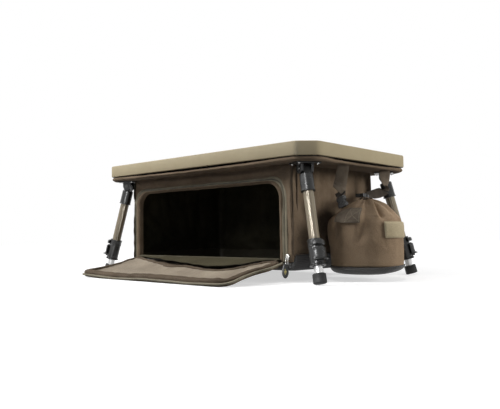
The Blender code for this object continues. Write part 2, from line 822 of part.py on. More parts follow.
def make_front_strap(swing, seat):
    """The front strap, with its buckle standing on the front tab's loop."""
    tilt = math.radians(18)
    along = Vector((-math.sin(tilt), 0, math.cos(tilt)))
    corner = buckle_width / 2 * math.sin(tilt) + buckle_length / 2 * math.cos(tilt)
    middle = seat + Vector((0, 0, corner + gap))
    buckle("strap_buckle_front", middle, Matrix.Rotation(-tilt, 4, "Y"), swing)

    top = Vector((0, front_strap_y, strap_end_rise))
    bottom = middle + along * (buckle_length / 2 + gap)
    path = [top, top + Vector((0, -0.125, -1)) * front_strap_run,
            top.lerp(bottom, 0.62) + Vector((-0.125, 0, 0)) * front_strap_run, bottom]
    across = [Vector((0, 1, 0)), Vector((0.1, 1, 0)), Vector((0.7, 0.7, 0.1)),
              Vector((math.cos(tilt), 0, math.sin(tilt)))]
    strap = ribbon("strap_front", path, across, webbing_width, webbing_thickness)
    finish(strap, dark_webbing, swing)


def make_back_strap(swing, centre):
    """The back strap, which drops, twists and runs forward over the pouch to its buckle."""
    spot = Vector((-0.2174, 0.1739)) * pouch_radius
    axis = (spot.normalized().x, spot.normalized().y)

    def place_back_tab(u, v):
        forward = (u - 0.25) * back_tab_length
        side = (v - 0.5) * webbing_width
        x = spot.x + axis[0] * forward - axis[1] * side
        y = spot.y + axis[1] * forward + axis[0] * side
        height = crown_height(math.hypot(x, y)) + gap + webbing_thickness
        return centre + Vector((x, y, height))

    tab = sheet("pouch_tab_back", 4, 6, place_back_tab, webbing_thickness)
    finish(tab, dark_webbing, swing)

    lift = crown_height(spot.length) + 2 * webbing_thickness + buckle_thickness / 2 + 3 * gap
    middle = centre + Vector((spot.x, spot.y, lift))
    turn = Matrix.Rotation(math.radians(-96), 4, "X")
    buckle("strap_buckle_back", middle, turn, swing)

    top = Vector((0, back_strap_y, strap_end_rise))
    end = middle + turn @ Vector((0, 0, buckle_length / 2 + gap))
    drop = back_strap_drop
    bend = top + Vector((0.02, -0.08, -1)) * drop
    path = [top, top + Vector((0.02, 0, -0.36)) * drop, bend + Vector((0, 0.08, 0.3)) * drop,
            bend, bend.lerp(end, 0.35) + Vector((0, 0, -0.08)) * drop,
            bend.lerp(end, 0.7) + Vector((0, 0, -0.06)) * drop, end]
    across = [Vector((0, 1, 0)), Vector((0.25, 1, 0)), Vector((1, 0.5, 0)), Vector((1, 0, 0.1)),
              Vector((0.5, 0, 0.8)), Vector((0.3, 0, 1)), Vector((1, 0, 0.1))]
    strap = ribbon("strap_back", path, across, webbing_width, webbing_thickness)
    finish(strap, dark_webbing, swing)


make_table()
for leg_name, (side_x, side_y) in legs.items():
    make_bracket(leg_name, side_x, side_y)
    make_leg(leg_name, side_x, side_y)
make_bag()
make_door()
make_zip_pull()
make_pouch()
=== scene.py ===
# Bivvy table: the cloth, webbing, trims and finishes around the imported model.
import json
import math

import bmesh
import bpy
from mathutils import Matrix, Vector, noise


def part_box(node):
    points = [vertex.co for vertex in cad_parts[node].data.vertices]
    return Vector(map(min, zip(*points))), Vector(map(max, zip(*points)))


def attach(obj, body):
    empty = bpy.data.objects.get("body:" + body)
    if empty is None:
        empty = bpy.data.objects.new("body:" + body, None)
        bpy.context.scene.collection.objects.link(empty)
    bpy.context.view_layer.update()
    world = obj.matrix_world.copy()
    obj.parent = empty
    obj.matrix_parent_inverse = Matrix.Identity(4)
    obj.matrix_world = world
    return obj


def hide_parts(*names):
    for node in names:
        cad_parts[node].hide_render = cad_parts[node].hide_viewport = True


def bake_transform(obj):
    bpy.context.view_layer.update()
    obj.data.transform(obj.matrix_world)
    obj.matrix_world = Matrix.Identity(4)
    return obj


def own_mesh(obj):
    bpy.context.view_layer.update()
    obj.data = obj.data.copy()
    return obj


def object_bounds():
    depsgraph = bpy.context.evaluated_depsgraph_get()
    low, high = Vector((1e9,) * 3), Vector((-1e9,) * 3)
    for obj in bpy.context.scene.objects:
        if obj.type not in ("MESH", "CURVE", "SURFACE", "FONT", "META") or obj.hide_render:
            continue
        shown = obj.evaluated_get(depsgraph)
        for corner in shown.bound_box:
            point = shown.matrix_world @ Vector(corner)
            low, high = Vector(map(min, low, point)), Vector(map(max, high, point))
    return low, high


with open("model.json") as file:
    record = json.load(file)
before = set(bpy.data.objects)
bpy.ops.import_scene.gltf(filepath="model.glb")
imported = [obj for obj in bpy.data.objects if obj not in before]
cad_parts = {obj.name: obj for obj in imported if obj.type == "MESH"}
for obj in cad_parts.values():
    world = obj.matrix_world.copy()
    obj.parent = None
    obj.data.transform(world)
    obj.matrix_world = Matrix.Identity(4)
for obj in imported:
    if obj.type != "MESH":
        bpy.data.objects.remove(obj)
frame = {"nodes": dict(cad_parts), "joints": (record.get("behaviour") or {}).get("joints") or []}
scene = bpy.context.scene
cadBox = [list(corner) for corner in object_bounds()]
joints = {j["name"]: j for j in frame["joints"]}
legNames = ("front_right", "back_right", "back_left", "front_left")
print("frame loaded")


# place in metres, angles in degrees, lens in millimetres
camera = {
    "place": (0.90665, -0.98093, -0.15889),
    "azimuth": 42.70,
    "elevation": -2.783,
    "roll": -0.5895,
    "lens": 43.376,
}
studio = {
    "floorSize": 9.0,
    "floorBounce": 0.24,
    "floorShade": 0.60,
    "floorGlow": (0.56, 1.0),
    "glowReach": (0.6, 2.2),
    "worldShown": 1.0,
    "worldFill": 0.03,
    "lampCentre": (0, 0, -0.12),
}
lamps = {   # direction, distance, width and height, watts, and what it is seen in
    "key_panel": ((-0.70, -0.70, 0.66), 2.2, (0.6, 0.6), 47.0, "both"),
    "right_panel": ((0.86, 0.42, 0.24), 2.0, (0.6, 0.5), 25.0, "fill"),
    "corner_panel": ((0.60, -0.52, 1.15), 2.2, (0.6, 0.5), 9.0, "fill"),
    "back_panel": ((-0.20, 0.90, 0.50), 2.2, (0.9, 0.6), 9.0, "fill"),
    "top_panel": ((0.00, -0.30, 1.0), 1.8, (1.2, 1.0), 7.0, "both"),
    "low_panel": ((-0.10, -0.95, 0.31), 2.4, (0.5, 0.25), 3.0, "both"),
    "strip_panel": ((0.37, -0.93, 0.12), 1.4, (0.06, 1.0), 25.0, "gloss"),
}


def makeCamera():
    a, e, r = (math.radians(camera[k]) for k in ("azimuth", "elevation", "roll"))
    back = Vector((math.sin(a) * math.cos(e), -math.cos(a) * math.cos(e), math.sin(e)))
    right = Vector((math.cos(a), math.sin(a), 0))
    up = back.cross(right)
    across = right * math.cos(r) + up * math.sin(r)
    upright = up * math.cos(r) - right * math.sin(r)
    data = bpy.data.cameras.new("camera")
    data.sensor_width = 36
    data.lens = camera["lens"]
    data.clip_start, data.clip_end = 0.05, 40
    obj = bpy.data.objects.new("camera", data)
    scene.collection.objects.link(obj)
    matrix = Matrix((across, upright, back)).transposed().to_4x4()
    matrix.translation = camera["place"]
    obj.matrix_world = matrix
    scene.camera = obj


def node(tree, kind, inputs=None, **settings):
    # one node, with its inputs given as values or as sockets to link from
    made = tree.nodes.new(kind)
    for key, value in settings.items():
        setattr(made, key, value)
    for key, value in (inputs or {}).items():
        if isinstance(value, bpy.types.NodeSocket):
            tree.links.new(value, made.inputs[key])
        else:
            made.inputs[key].default_value = value
    return made


def seenDirectly(tree):
    # 1 for rays that see the background itself or in a reflection
    rays = node(tree, "ShaderNodeLightPath").outputs
    total = rays["Is Camera Ray"]
    for kind in ("Is Glossy Ray", "Is Transmission Ray"):
        total = node(tree, "ShaderNodeMath", {0: total, 1: rays[kind]}, operation="ADD").outputs[0]
    return node(tree, "ShaderNodeClamp", {0: total}).outputs[0]


def makeStage():
    ground = cadBox[0][2]
    half = studio["floorSize"] / 2
    mesh = bpy.data.meshes.new("studio_floor")
    mesh.from_pydata([(-half, -half, ground), (half, -half, ground), (half, half, ground),
                      (-half, half, ground)], [], [(0, 1, 2, 3)])
    floor = bpy.data.objects.new("studio_floor", mesh)
    scene.collection.objects.link(floor)
    mat = bpy.data.materials.new("studio_floor")
    mat.use_nodes = True
    tree = mat.node_tree
    tree.nodes.clear()
    shade = node(tree, "ShaderNodeBsdfDiffuse", {"Color": (*(studio["floorShade"],) * 3, 1)})
    bounce = node(tree, "ShaderNodeBsdfDiffuse", {"Color": (*(studio["floorBounce"],) * 3, 1)})
    near, far = studio["glowReach"]
    low, high = studio["floorGlow"]
    away = node(tree, "ShaderNodeVectorMath",
                {0: node(tree, "ShaderNodeTexCoord").outputs["Object"]}, operation="LENGTH")
    strength = node(tree, "ShaderNodeMapRange", {"Value": away.outputs["Value"], 1: near, 2: far,
                                                 3: low, 4: high})
    glow = node(tree, "ShaderNodeEmission", {"Color": (1, 1, 1, 1),
                                             "Strength": strength.outputs[0]})
    lit = node(tree, "ShaderNodeAddShader", {0: shade.outputs[0], 1: glow.outputs[0]})
    mixed = node(tree, "ShaderNodeMixShader", {0: seenDirectly(tree), 1: bounce.outputs[0],
                                               2: lit.outputs[0]})
    out = node(tree, "ShaderNodeOutputMaterial")
    tree.links.new(mixed.outputs[0], out.inputs[0])
    mesh.materials.append(mat)

    world = bpy.data.worlds.new("studio")
    world.use_nodes = True
    scene.world = world
    tree = world.node_tree
    background = tree.nodes["Background"]
    background.inputs["Color"].default_value = (1, 1, 1, 1)
    span = studio["worldShown"] - studio["worldFill"]
    strength = node(tree, "ShaderNodeMath", {0: seenDirectly(tree), 1: span,
                                             2: studio["worldFill"]}, operation="MULTIPLY_ADD")
    tree.links.new(strength.outputs[0], background.inputs["Strength"])


def areaLight(name, direction, distance, size, power, seen):
    data = bpy.data.lights.new(name, "AREA")
    data.shape = "RECTANGLE"
    data.size, data.size_y = size
    data.energy = power
    obj = bpy.data.objects.new(name, data)
    scene.collection.objects.link(obj)
    obj.visible_diffuse, obj.visible_glossy = seen != "gloss", seen != "fill"
    away = Vector(direction).normalized()
    obj.matrix_world = (Matrix.Translation(Vector(studio["lampCentre"]) + away * distance)
                        @ away.to_track_quat("Z", "Y").to_matrix().to_4x4())


makeCamera()
makeStage()
for lampName, values in lamps.items():
    areaLight(lampName, *values)
scene.view_settings.view_transform = "Standard"
print("camera, floor and lights made")


def newMaterial(name, roughness, colour=(0.5, 0.5, 0.5), metallic=0.0, specular=0.5):
    mat = bpy.data.materials.new(name)
    mat.use_nodes = True
    tree = mat.node_tree
    shader = tree.nodes["Principled BSDF"]
    shader.inputs["Base Color"].default_value = (*colour, 1)
    shader.inputs["Roughness"].default_value = roughness
    shader.inputs["Metallic"].default_value = metallic
    shader.inputs["Specular IOR Level"].default_value = specular
    return mat, tree, shader


def objectPlace(tree, scale=(1, 1, 1)):
    where = node(tree, "ShaderNodeTexCoord").outputs["Object"]
    return node(tree, "ShaderNodeMapping", {"Vector": where, "Scale": scale}).outputs[0]


def noiseField(tree, place, scale, detail, **inputs):
    return node(tree, "ShaderNodeTexNoise", {"Vector": place, "Scale": scale, "Detail": detail,
                                             **inputs}).outputs[0]


def tones(tree, place, scale, colours, detail=3.0):
    # noise run through a ramp of colours; noise below low or above high shows an end colour
    low, high = 0.35, 0.65
    shades = node(tree, "ShaderNodeValToRGB",
                  {"Fac": noiseField(tree, place, scale, detail, Roughness=0.6)})
    for stop, at, colour in zip(shades.color_ramp.elements, (low, high), colours):
        stop.position, stop.color = at, (*colour, 1)
    return shades.outputs[0]


def unevenRoughness(tree, shader, field, low, high, reach=(0.0, 1.0)):
    spread = node(tree, "ShaderNodeMapRange", {"Value": field, 1: reach[0], 2: reach[1],
                                               3: low, 4: high})
    tree.links.new(spread.outputs[0], shader.inputs["Roughness"])


def threads(tree, place, pitch):
    # over and under of a plain weave, in three directions at once
    turn = 2 * math.pi / pitch
    waves = node(tree, "ShaderNodeVectorMath",
                 {0: node(tree, "ShaderNodeVectorMath", {0: place, 1: (turn,) * 3},
                          operation="MULTIPLY").outputs[0]}, operation="SINE").outputs[0]
    split = node(tree, "ShaderNodeSeparateXYZ", {0: waves})
    turned = node(tree, "ShaderNodeCombineXYZ", {0: split.outputs[2], 1: split.outputs[0],
                                                 2: split.outputs[1]})
    return node(tree, "ShaderNodeVectorMath", {0: waves, 1: turned.outputs[0]},
                operation="DOT_PRODUCT").outputs["Value"]


def bump(tree, shader, height, strength, distance, before=None):
    made = node(tree, "ShaderNodeBump", {"Height": height, "Strength": strength,
                                         "Distance": distance})
    if before is not None:
        tree.links.new(before, made.inputs["Normal"])
    tree.links.new(made.outputs[0], shader.inputs["Normal"])
    return made.outputs[0]


weave = {
    "toneScale": 14,                  # patches of tone
    "yarnScale": 900,                 # light and dark yarns
    "yarnTones": ((0.80, 0.80, 0.80), (1.12, 1.12, 1.12)),
    "roughScale": 60.0,
    "roughSpread": 0.08,
    "creaseScale": 45.0,
    "creaseStrength": 0.5,
    "threadStrength": 0.6,
    "sheenRoughness": 0.45,
}


def clothFinish(name, colours, pitch=0.0009, relief=0.00012, roughness=0.85, sheen=0.05,
                wrinkle=0.0004, specular=0.10):
    mat, tree, shader = newMaterial(name, roughness, specular=specular)
    where = objectPlace(tree)
    base = tones(tree, where, weave["toneScale"], colours)
    yarns = tones(tree, where, weave["yarnScale"], weave["yarnTones"], 2.0)
    mixed = node(tree, "ShaderNodeMix", {0: 1.0, 6: base, 7: yarns}, data_type="RGBA",
                 blend_type="MULTIPLY")
    tree.links.new(mixed.outputs[2], shader.inputs["Base Color"])
    unevenRoughness(tree, shader, noiseField(tree, where, weave["roughScale"], 2.0),
                    roughness - weave["roughSpread"], roughness + weave["roughSpread"])
    shader.inputs["Sheen Weight"].default_value = sheen
    shader.inputs["Sheen Roughness"].default_value = weave["sheenRoughness"]
    creases = noiseField(tree, where, weave["creaseScale"], 4.0, Distortion=0.6)
    folds = bump(tree, shader, creases, weave["creaseStrength"], wrinkle)
    bump(tree, shader, threads(tree, where, pitch), weave["threadStrength"], relief, folds)
    return mat


plastic = {
    "toneScale": 30,
    "scuffScale": 90.0,
    "scuffReach": (0.3, 0.7),
    "scuffRoughness": (0.05, 0.10),   # how far scuffs lower and raise the roughness
    "grainStrength": 0.35,
}


def plasticFinish(name, colours, roughness, grain=1500, relief=0.00005, specular=0.45):
    mat, tree, shader = newMaterial(name, roughness, specular=specular)
    where = objectPlace(tree)
    tree.links.new(tones(tree, where, plastic["toneScale"], colours),
                   shader.inputs["Base Color"])
    less, more = plastic["scuffRoughness"]
    unevenRoughness(tree, shader, noiseField(tree, where, plastic["scuffScale"], 5.0),
                    roughness - less, roughness + more, plastic["scuffReach"])
    bump(tree, shader, noiseField(tree, where, grain, 1.0), plastic["grainStrength"], relief)
    return mat


ribbon = {
    "toneScale": 40,
    "twillScale": 260.0,
    "twillRelief": 0.0002,
    "ribRelief": 0.0003,
    "strength": 0.5,
    "sheen": 0.05,
}


def webbingFinish(name, colours, across=0.0012):
    # ribs run along the webbing, about two of across apart, with a fine twill over them
    mat, tree, shader = newMaterial(name, 0.8, specular=0.12)
    where = node(tree, "ShaderNodeUVMap", uv_map="run").outputs[0]
    tree.links.new(tones(tree, where, ribbon["toneScale"], colours), shader.inputs["Base Color"])
    twill = node(tree, "ShaderNodeTexWave", {"Vector": where, "Scale": ribbon["twillScale"],
                                             "Distortion": 0.4, "Detail": 1.0},
                 bands_direction="DIAGONAL")
    ribs = node(tree, "ShaderNodeTexWave", {"Vector": where, "Scale": 1 / across / 6.283,
                                            "Distortion": 0.0}, bands_direction="Y")
    first = bump(tree, shader, ribs.outputs["Fac"], ribbon["strength"], ribbon["ribRelief"])
    bump(tree, shader, twill.outputs["Fac"], ribbon["strength"], ribbon["twillRelief"], first)
    shader.inputs["Sheen Weight"].default_value = ribbon["sheen"]
    return mat


metal = {
    "stretch": (1, 1, 0.05),          # brushed up and down
    "brushScale": 900.0,
    "toneScale": 300,
    "darkTone": 0.88,
}


def metalFinish(name, colour, roughness, brushed=0.03, metallic=1.0, specular=0.5):
    mat, tree, shader = newMaterial(name, roughness, colour, metallic, specular)
    where = objectPlace(tree, metal["stretch"])
    unevenRoughness(tree, shader, noiseField(tree, where, metal["brushScale"], 3.0),
                    roughness - brushed, roughness + brushed)
    darker = tuple(c * metal["darkTone"] for c in colour)
    tree.links.new(tones(tree, where, metal["toneScale"], (darker, colour)),
                   shader.inputs["Base Color"])
    return mat


finish = {
    "top": plasticFinish("olive_top", ((0.356, 0.298, 0.189), (0.376, 0.317, 0.203)), 0.62,
                         grain=900, relief=0.00006, specular=0.22),
    "black": plasticFinish("black_plastic", ((0.010, 0.010, 0.010), (0.019, 0.019, 0.018)), 0.28,
                           grain=1400, relief=0.00004, specular=0.42),
    "rubber": plasticFinish("foot_rubber", ((0.014, 0.014, 0.014), (0.026, 0.026, 0.026)), 0.62,
                            grain=2200, relief=0.0001, specular=0.35),
    "tan": metalFinish("tan_tube", (0.215, 0.172, 0.108), 0.17, brushed=0.01, metallic=0.25,
                       specular=0.9),
    "bare": metalFinish("bare_tube", (0.86, 0.86, 0.85), 0.34, brushed=0.05, metallic=0.35),
    "steel": metalFinish("bright_steel", (0.50, 0.50, 0.48), 0.28),
    "darkSteel": metalFinish("dark_steel", (0.055, 0.055, 0.053), 0.35, metallic=0.6),
    "brown": clothFinish("brown_cloth", ((0.135, 0.096, 0.062), (0.195, 0.143, 0.095))),
    "pouchCloth": clothFinish("pouch_cloth", ((0.265, 0.186, 0.117), (0.352, 0.252, 0.163))),
    "binding": clothFinish("binding_cloth", ((0.086, 0.062, 0.041), (0.132, 0.098, 0.067)),
                           pitch=0.0011, relief=0.0002),
    # the bag's inner face: the olive hue is the cloth's own, its darkness is painted shade for the
    # shade inside the bag
    "dark": clothFinish("bag_inside_painted_shade", ((0.034, 0.031, 0.019), (0.062, 0.056, 0.035)),
                        pitch=0.0012, relief=0.0001, roughness=0.7, sheen=0.0, specular=0.03),
    "floor": clothFinish("bag_floor", ((0.048, 0.041, 0.023), (0.070, 0.061, 0.036)),
                         pitch=0.0012, relief=0.0001, roughness=0.6, sheen=0.0, specular=0.12),
    "coated": clothFinish("coated_base", ((0.016, 0.015, 0.014), (0.032, 0.031, 0.028)),
                          pitch=0.0030, relief=0.0009, roughness=0.42, sheen=0.0, specular=0.4),
    "lining": clothFinish("beige_lining", ((0.250, 0.207, 0.158), (0.352, 0.298, 0.228)),
                          pitch=0.0008, relief=0.00008, roughness=0.6, sheen=0.0,
                          wrinkle=0.0014),
    "patch": clothFinish("tan_patch", ((0.410, 0.340, 0.220), (0.500, 0.424, 0.284)),
                         pitch=0.0008, relief=0.00006, roughness=0.6, sheen=0.0),
    "webbing": webbingFinish("brown_webbing", ((0.140, 0.110, 0.080), (0.205, 0.166, 0.124))),
    "darkWebbing": webbingFinish("dark_webbing", ((0.030, 0.024, 0.018), (0.058, 0.047, 0.036))),
    "zip": webbingFinish("zip_tape", ((0.190, 0.168, 0.118), (0.272, 0.242, 0.174)), across=0.0016),
    "teeth": plasticFinish("zip_teeth", ((0.115, 0.108, 0.082), (0.165, 0.156, 0.122)), 0.4,
                           specular=0.3),
    "thread": clothFinish("pale_thread", ((0.30, 0.255, 0.195), (0.38, 0.33, 0.255)),
                          pitch=0.0006),
    "brownThread": clothFinish("brown_thread", ((0.10, 0.076, 0.052), (0.14, 0.11, 0.077)),
                               pitch=0.0006),
    "tanThread": clothFinish("tan_thread", ((0.25, 0.205, 0.13), (0.32, 0.27, 0.18)),
                             pitch=0.0005),
    "inlay": plasticFinish("pale_inlay", ((0.62, 0.52, 0.17), (0.74, 0.63, 0.25)), 0.4),
}
print("finishes made")


def objectFrom(name, verts, faces, uvs=None):
    mesh = bpy.data.meshes.new(name)
    mesh.from_pydata([tuple(v) for v in verts], [], faces)
    if uvs is not None:
        layer = mesh.uv_layers.new(name="run")
        for loop in mesh.loops:
            layer.data[loop.index].uv = uvs[loop.vertex_index]
    mesh.update()
    obj = bpy.data.objects.new(name, mesh)
    scene.collection.objects.link(obj)
    return obj


def applied(obj):
    # the evaluated mesh takes the place of the modifiers
    graph = bpy.context.evaluated_depsgraph_get()
    graph.update()
    mesh = bpy.data.meshes.new_from_object(obj.evaluated_get(graph))
    obj.modifiers.clear()
    obj.data = mesh
    return obj


def modifier(obj, kind, **settings):
    made = obj.modifiers.new(kind.lower(), kind)
    for key, value in settings.items():
        setattr(made, key, value)
    return made


def smoothed(obj, angle=40):
    obj.data.shade_smooth()
    obj.data.set_sharp_from_angle(angle=math.radians(angle))
    return obj


def dress(obj, material, body, replaces=(), slot=None, angle=40):
    # finish, shading, body and stand-ins of one piece
    wanted = material if isinstance(material, tuple) else (material,)
    slots = obj.data.materials
    while len(slots) > len(wanted):
        slots.pop(index=len(slots) - 1)
    for i, mat in enumerate(wanted):
        if i < len(slots):
            slots[i] = mat
        else:
            slots.append(mat)
    if angle:
        smoothed(obj, angle)
    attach(obj, body)
    if replaces:
        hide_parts(*replaces)
    return obj


def ramp(low, high, value):
    # 0 below low, 1 above high, and smooth between them
    share = min(max((value - low) / (high - low), 0.0), 1.0)
    return share * share * (3 - 2 * share)


def hump(stops, value):
    # rises between the first two stops and falls between the last two
    start, full, fade, end = stops
    return ramp(start, full, value) * (1 - ramp(fade, end, value))


def drift(x, y, z, scale, seed):
    # smooth noise between about -1 and 1
    return noise.noise(Vector((x, y, z)) * scale + Vector((seed * 7.3, seed * 3.1, seed * 5.7)))


def gridSheet(name, columns, rows, place, closed=False):
    # a sheet from a rule on its two shares; closed joins its last column to its first
    verts, uvs, faces = [], [], []
    across = columns if closed else columns + 1
    for j in range(rows + 1):
        for i in range(across):
            u, v = i / columns, j / rows
            verts.append(place(u, v))
            uvs.append((u, v))
    for j in range(rows):
        for i in range(columns):
            a, b = j * across + i, j * across + (i + 1) % across
            faces.append((a, b, b + across, a + across))
    return objectFrom(name, verts, faces, uvs)


def lengths(path, closed=False):
    run = [0.0]
    for a, b in zip(path, path[1:] + (path[:1] if closed else [])):
        run.append(run[-1] + (b - a).length)
    return run


def tubeFaces(rings, count, first=True):
    # faces between rings of points, and over the last ring and the first
    faces = []
    for j in range(rings - 1):
        for i in range(count):
            a, b = j * count + i, j * count + (i + 1) % count
            faces.append((a, a + count, b + count, b))
    if first:
        faces.append(list(range(count)))
    faces.append(list(range((rings - 1) * count, rings * count))[::-1])
    return faces


def sweep(name, path, section, up, closed=False):
    # a closed section, or one that a function gives for each point, carried along a path
    path = [Vector(p) for p in path]
    count = len(path)
    run = lengths(path, closed)
    verts, uvs, faces = [], [], []
    for i, point in enumerate(path):
        before = path[i - 1] if i or closed else point
        after = path[(i + 1) % count] if i < count - 1 or closed else point
        along = (after - before).normalized()
        across = along.cross(Vector(up)).normalized()
        lift = across.cross(along).normalized()
        shape = section(i, run[i] / run[-1]) if callable(section) else section
        edge = 0.0
        for k, (a, b) in enumerate(shape):
            if k:
                edge += math.hypot(a - shape[k - 1][0], b - shape[k - 1][1])
            verts.append(point + across * a + lift * b)
            uvs.append((run[i], edge))
    size = len(verts) // count
    for i in range(count if closed else count - 1):
        near, far = i * size, (i + 1) % count * size
        for k in range(size):
            after = (k + 1) % size
            faces.append((near + k, near + after, far + after, far + k))
    if not closed:
        faces.append(tuple(range(size))[::-1])
        faces.append(tuple(range((count - 1) * size, count * size)))
    return fixNormals(objectFrom(name, verts, faces, uvs))


def fixNormals(obj, fillBelow=None):
    # faces turned outwards, after open edges below a height are filled with flat faces
    bm = bmesh.new()
    bm.from_mesh(obj.data)
    if fillBelow is not None:
        edges = [e for e in bm.edges if e.is_boundary and e.verts[0].co.z < fillBelow]
        bmesh.ops.holes_fill(bm, edges=edges, sides=0)
    bmesh.ops.recalc_face_normals(bm, faces=bm.faces)
    bm.to_mesh(obj.data)
    bm.free()
    return obj


def lined(obj, outer, inner, thickness, **settings):
    # thickness for a sheet, with one finish outside and another inside
    modifier(obj, "SOLIDIFY", thickness=thickness, offset=-1, material_offset=1, **settings)
    for key in (outer, inner):
        obj.data.materials.append(finish[key])
    return applied(obj)


def circle(radius, count=8):
    return [(radius * math.cos(2 * math.pi * k / count),
             radius * math.sin(2 * math.pi * k / count)) for k in range(count)]


def resampled(path, step, closed=False):
    # the same path with points about a step apart
    path = [Vector(p) for p in path]
    run = lengths(path, closed)
    points = path + path[:1] if closed else path
    count = max(2, round(run[-1] / step))
    made, k = [], 0
    for i in range(count if closed else count + 1):
        want = run[-1] * i / count
        while k < len(run) - 2 and run[k + 1] < want:
            k += 1
        share = (want - run[k]) / max(run[k + 1] - run[k], 1e-9)
        made.append(points[k].lerp(points[k + 1], min(max(share, 0), 1)))
    return made


def resampledTo(path, count):
    # a closed path with just so many points
    run = lengths(path, True)
    made = resampled(path, run[-1] / count, closed=True)
    while len(made) > count:
        made.pop()
    return made


def catmull(stops, parts=8):
    # a smooth path through the stops
    stops = [Vector(p) for p in stops]
    ends = [stops[0] * 2 - stops[1], *stops, stops[-1] * 2 - stops[-2]]
    made = []
    for a, b, c, d in zip(ends, ends[1:], ends[2:], ends[3:]):
        for k in range(parts):
            t = k / parts
            made.append((b * 2 + (c - a) * t + (a * 2 - b * 5 + c * 4 - d) * t ** 2
                         + (b * 3 - a - c * 3 + d) * t ** 3) / 2)
    return made + [stops[-1]]


def archPoints(halfWidth, height, radius, legs, corner, top):
    # an arch in x and z from its right foot over the top to its left foot
    points = []
    for i in range(legs):
        points.append((halfWidth, (height - radius) * i / legs))
    for i in range(corner):
        angle = math.pi / 2 * i / corner
        points.append((halfWidth - radius + radius * math.cos(angle),
                       height - radius + radius * math.sin(angle)))
    for i in range(top + 1):
        points.append((halfWidth - radius - 2 * (halfWidth - radius) * i / top, height))
    mirrored = [(-x, z) for x, z in points[:legs + corner]]
    return points + mirrored[::-1]


# Geometry Nodes repeat the stitches, teeth, screws and ribs
def socketName(group, label):
    return next(item.identifier for item in group.interface.items_tree
                if item.name == label and item.in_out == "INPUT")


def newTree(name, inputs):
    group = bpy.data.node_groups.new(name, "GeometryNodeTree")
    group.interface.new_socket("Geometry", in_out="INPUT", socket_type="NodeSocketGeometry")
    group.interface.new_socket("Geometry", in_out="OUTPUT", socket_type="NodeSocketGeometry")
    for label, kind, value in inputs:
        made = group.interface.new_socket(label, in_out="INPUT",
                                          socket_type="NodeSocket" + kind)
        if value is not None:
            made.default_value = value
    start = group.nodes.new("NodeGroupInput")
    end = group.nodes.new("NodeGroupOutput")
    return group, start, end


def endTree(group, end, copies, material, smooth=True):
    # instances made real, given their finish and sent out
    made = node(group, "GeometryNodeRealizeInstances", {0: copies}).outputs[0]
    if smooth:
        made = node(group, "GeometryNodeSetShadeSmooth", {0: made}).outputs[0]
    made = node(group, "GeometryNodeSetMaterial", {"Geometry": made, "Material": material})
    group.links.new(made.outputs[0], end.inputs[0])
    return group


def alongPathTree():
    # copies of a given mesh along the paths of a curve, each turned to run with it
    group, start, end = newTree("copies_along_path", (
        ("Spacing", "Float", 0.003), ("Long", "Float", 0.002), ("Wide", "Float", 0.0006),
        ("High", "Float", 0.0005), ("Sides", "Int", 6), ("Finish", "Material", None)))
    pick = start.outputs
    even = node(group, "GeometryNodeResampleCurve", {"Curve": pick["Geometry"],
                                                     "Length": pick["Spacing"]}, mode="LENGTH")
    ball = node(group, "GeometryNodeMeshUVSphere", {"Segments": pick["Sides"], "Rings": 4,
                                                    "Radius": 0.5})
    size = node(group, "ShaderNodeCombineXYZ", {0: pick["Wide"], 1: pick["High"],
                                                2: pick["Long"]})
    run = node(group, "GeometryNodeInputTangent")
    lift = node(group, "GeometryNodeInputNormal")
    turn = node(group, "FunctionNodeAxesToRotation", {0: run.outputs[0], 1: lift.outputs[0]},
                primary_axis="Z", secondary_axis="Y")
    copies = node(group, "GeometryNodeInstanceOnPoints", {
        "Points": even.outputs[0], "Instance": ball.outputs["Mesh"],
        "Rotation": turn.outputs[0], "Scale": size.outputs[0]})
    return endTree(group, end, copies.outputs[0], pick["Finish"])


copiesAlongPath = alongPathTree()


def pathCurve(name, paths, closed=False):
    curve = bpy.data.curves.new(name, "CURVE")
    curve.dimensions = "3D"
    curve.twist_mode = "Z_UP"
    for path in paths:
        spline = curve.splines.new("POLY")
        spline.points.add(len(path) - 1)
        for point, place in zip(spline.points, path):
            point.co = (*place, 1)
        spline.use_cyclic_u = closed
    obj = bpy.data.objects.new(name, curve)
    scene.collection.objects.link(obj)
    return obj


def copiesAlong(name, paths, material, body, spacing, size, closed=False, slot=None):
    # size is (long, wide, high)
    source = pathCurve(name + "_path", paths, closed)
    made = modifier(source, "NODES", node_group=copiesAlongPath)
    values = {"Spacing": spacing, "Long": size[0], "Wide": size[1], "High": size[2],
              "Finish": material}
    for label, value in values.items():
        made[socketName(copiesAlongPath, label)] = value
    graph = bpy.context.evaluated_depsgraph_get()
    graph.update()
    mesh = bpy.data.meshes.new_from_object(source.evaluated_get(graph))
    bpy.data.objects.remove(source, do_unlink=True)
    obj = bpy.data.objects.new(name, mesh)
    scene.collection.objects.link(obj)
    return dress(obj, material, body, slot=slot, angle=0)


print("helpers ready")


# the bag's panel under the top, with its rolled hem
hem = {
    "chamfer": 0.0267,
    "cornerBend": 0.010,
    "step": 0.006,
    "sag": 0.0034,
    "sagReach": (0.24, 0.13),          # half of each side's length that hangs
    "ripple": 0.0005,
    "section": ((-0.0200, -0.0262), (-0.0050, -0.0261), (-0.0006, -0.0265), (0.0018, -0.0280),
                (0.0028, -0.0302), (0.0021, -0.0324), (-0.0004, -0.0340), (-0.0040, -0.0345),
                (-0.0076, -0.0340), (-0.0110, -0.0336)),
    "sagShares": (0.3, 0.6, 1.0, 1.0, 0.8, 0.45, 0.15, 0.05, 0.0, 0.0),   # of each stop above
    "rings": (0.10, 0.25, 0.45, 0.65, 0.85),
    "seamInset": 0.0078,
    "seamChamfer": 0.0221,
    "seamBend": 0.009,
    "seamDrop": 0.0007,
    "stitchSpacing": 0.0038,
    "stitch": (0.0027, 0.0007, 0.0006),
}


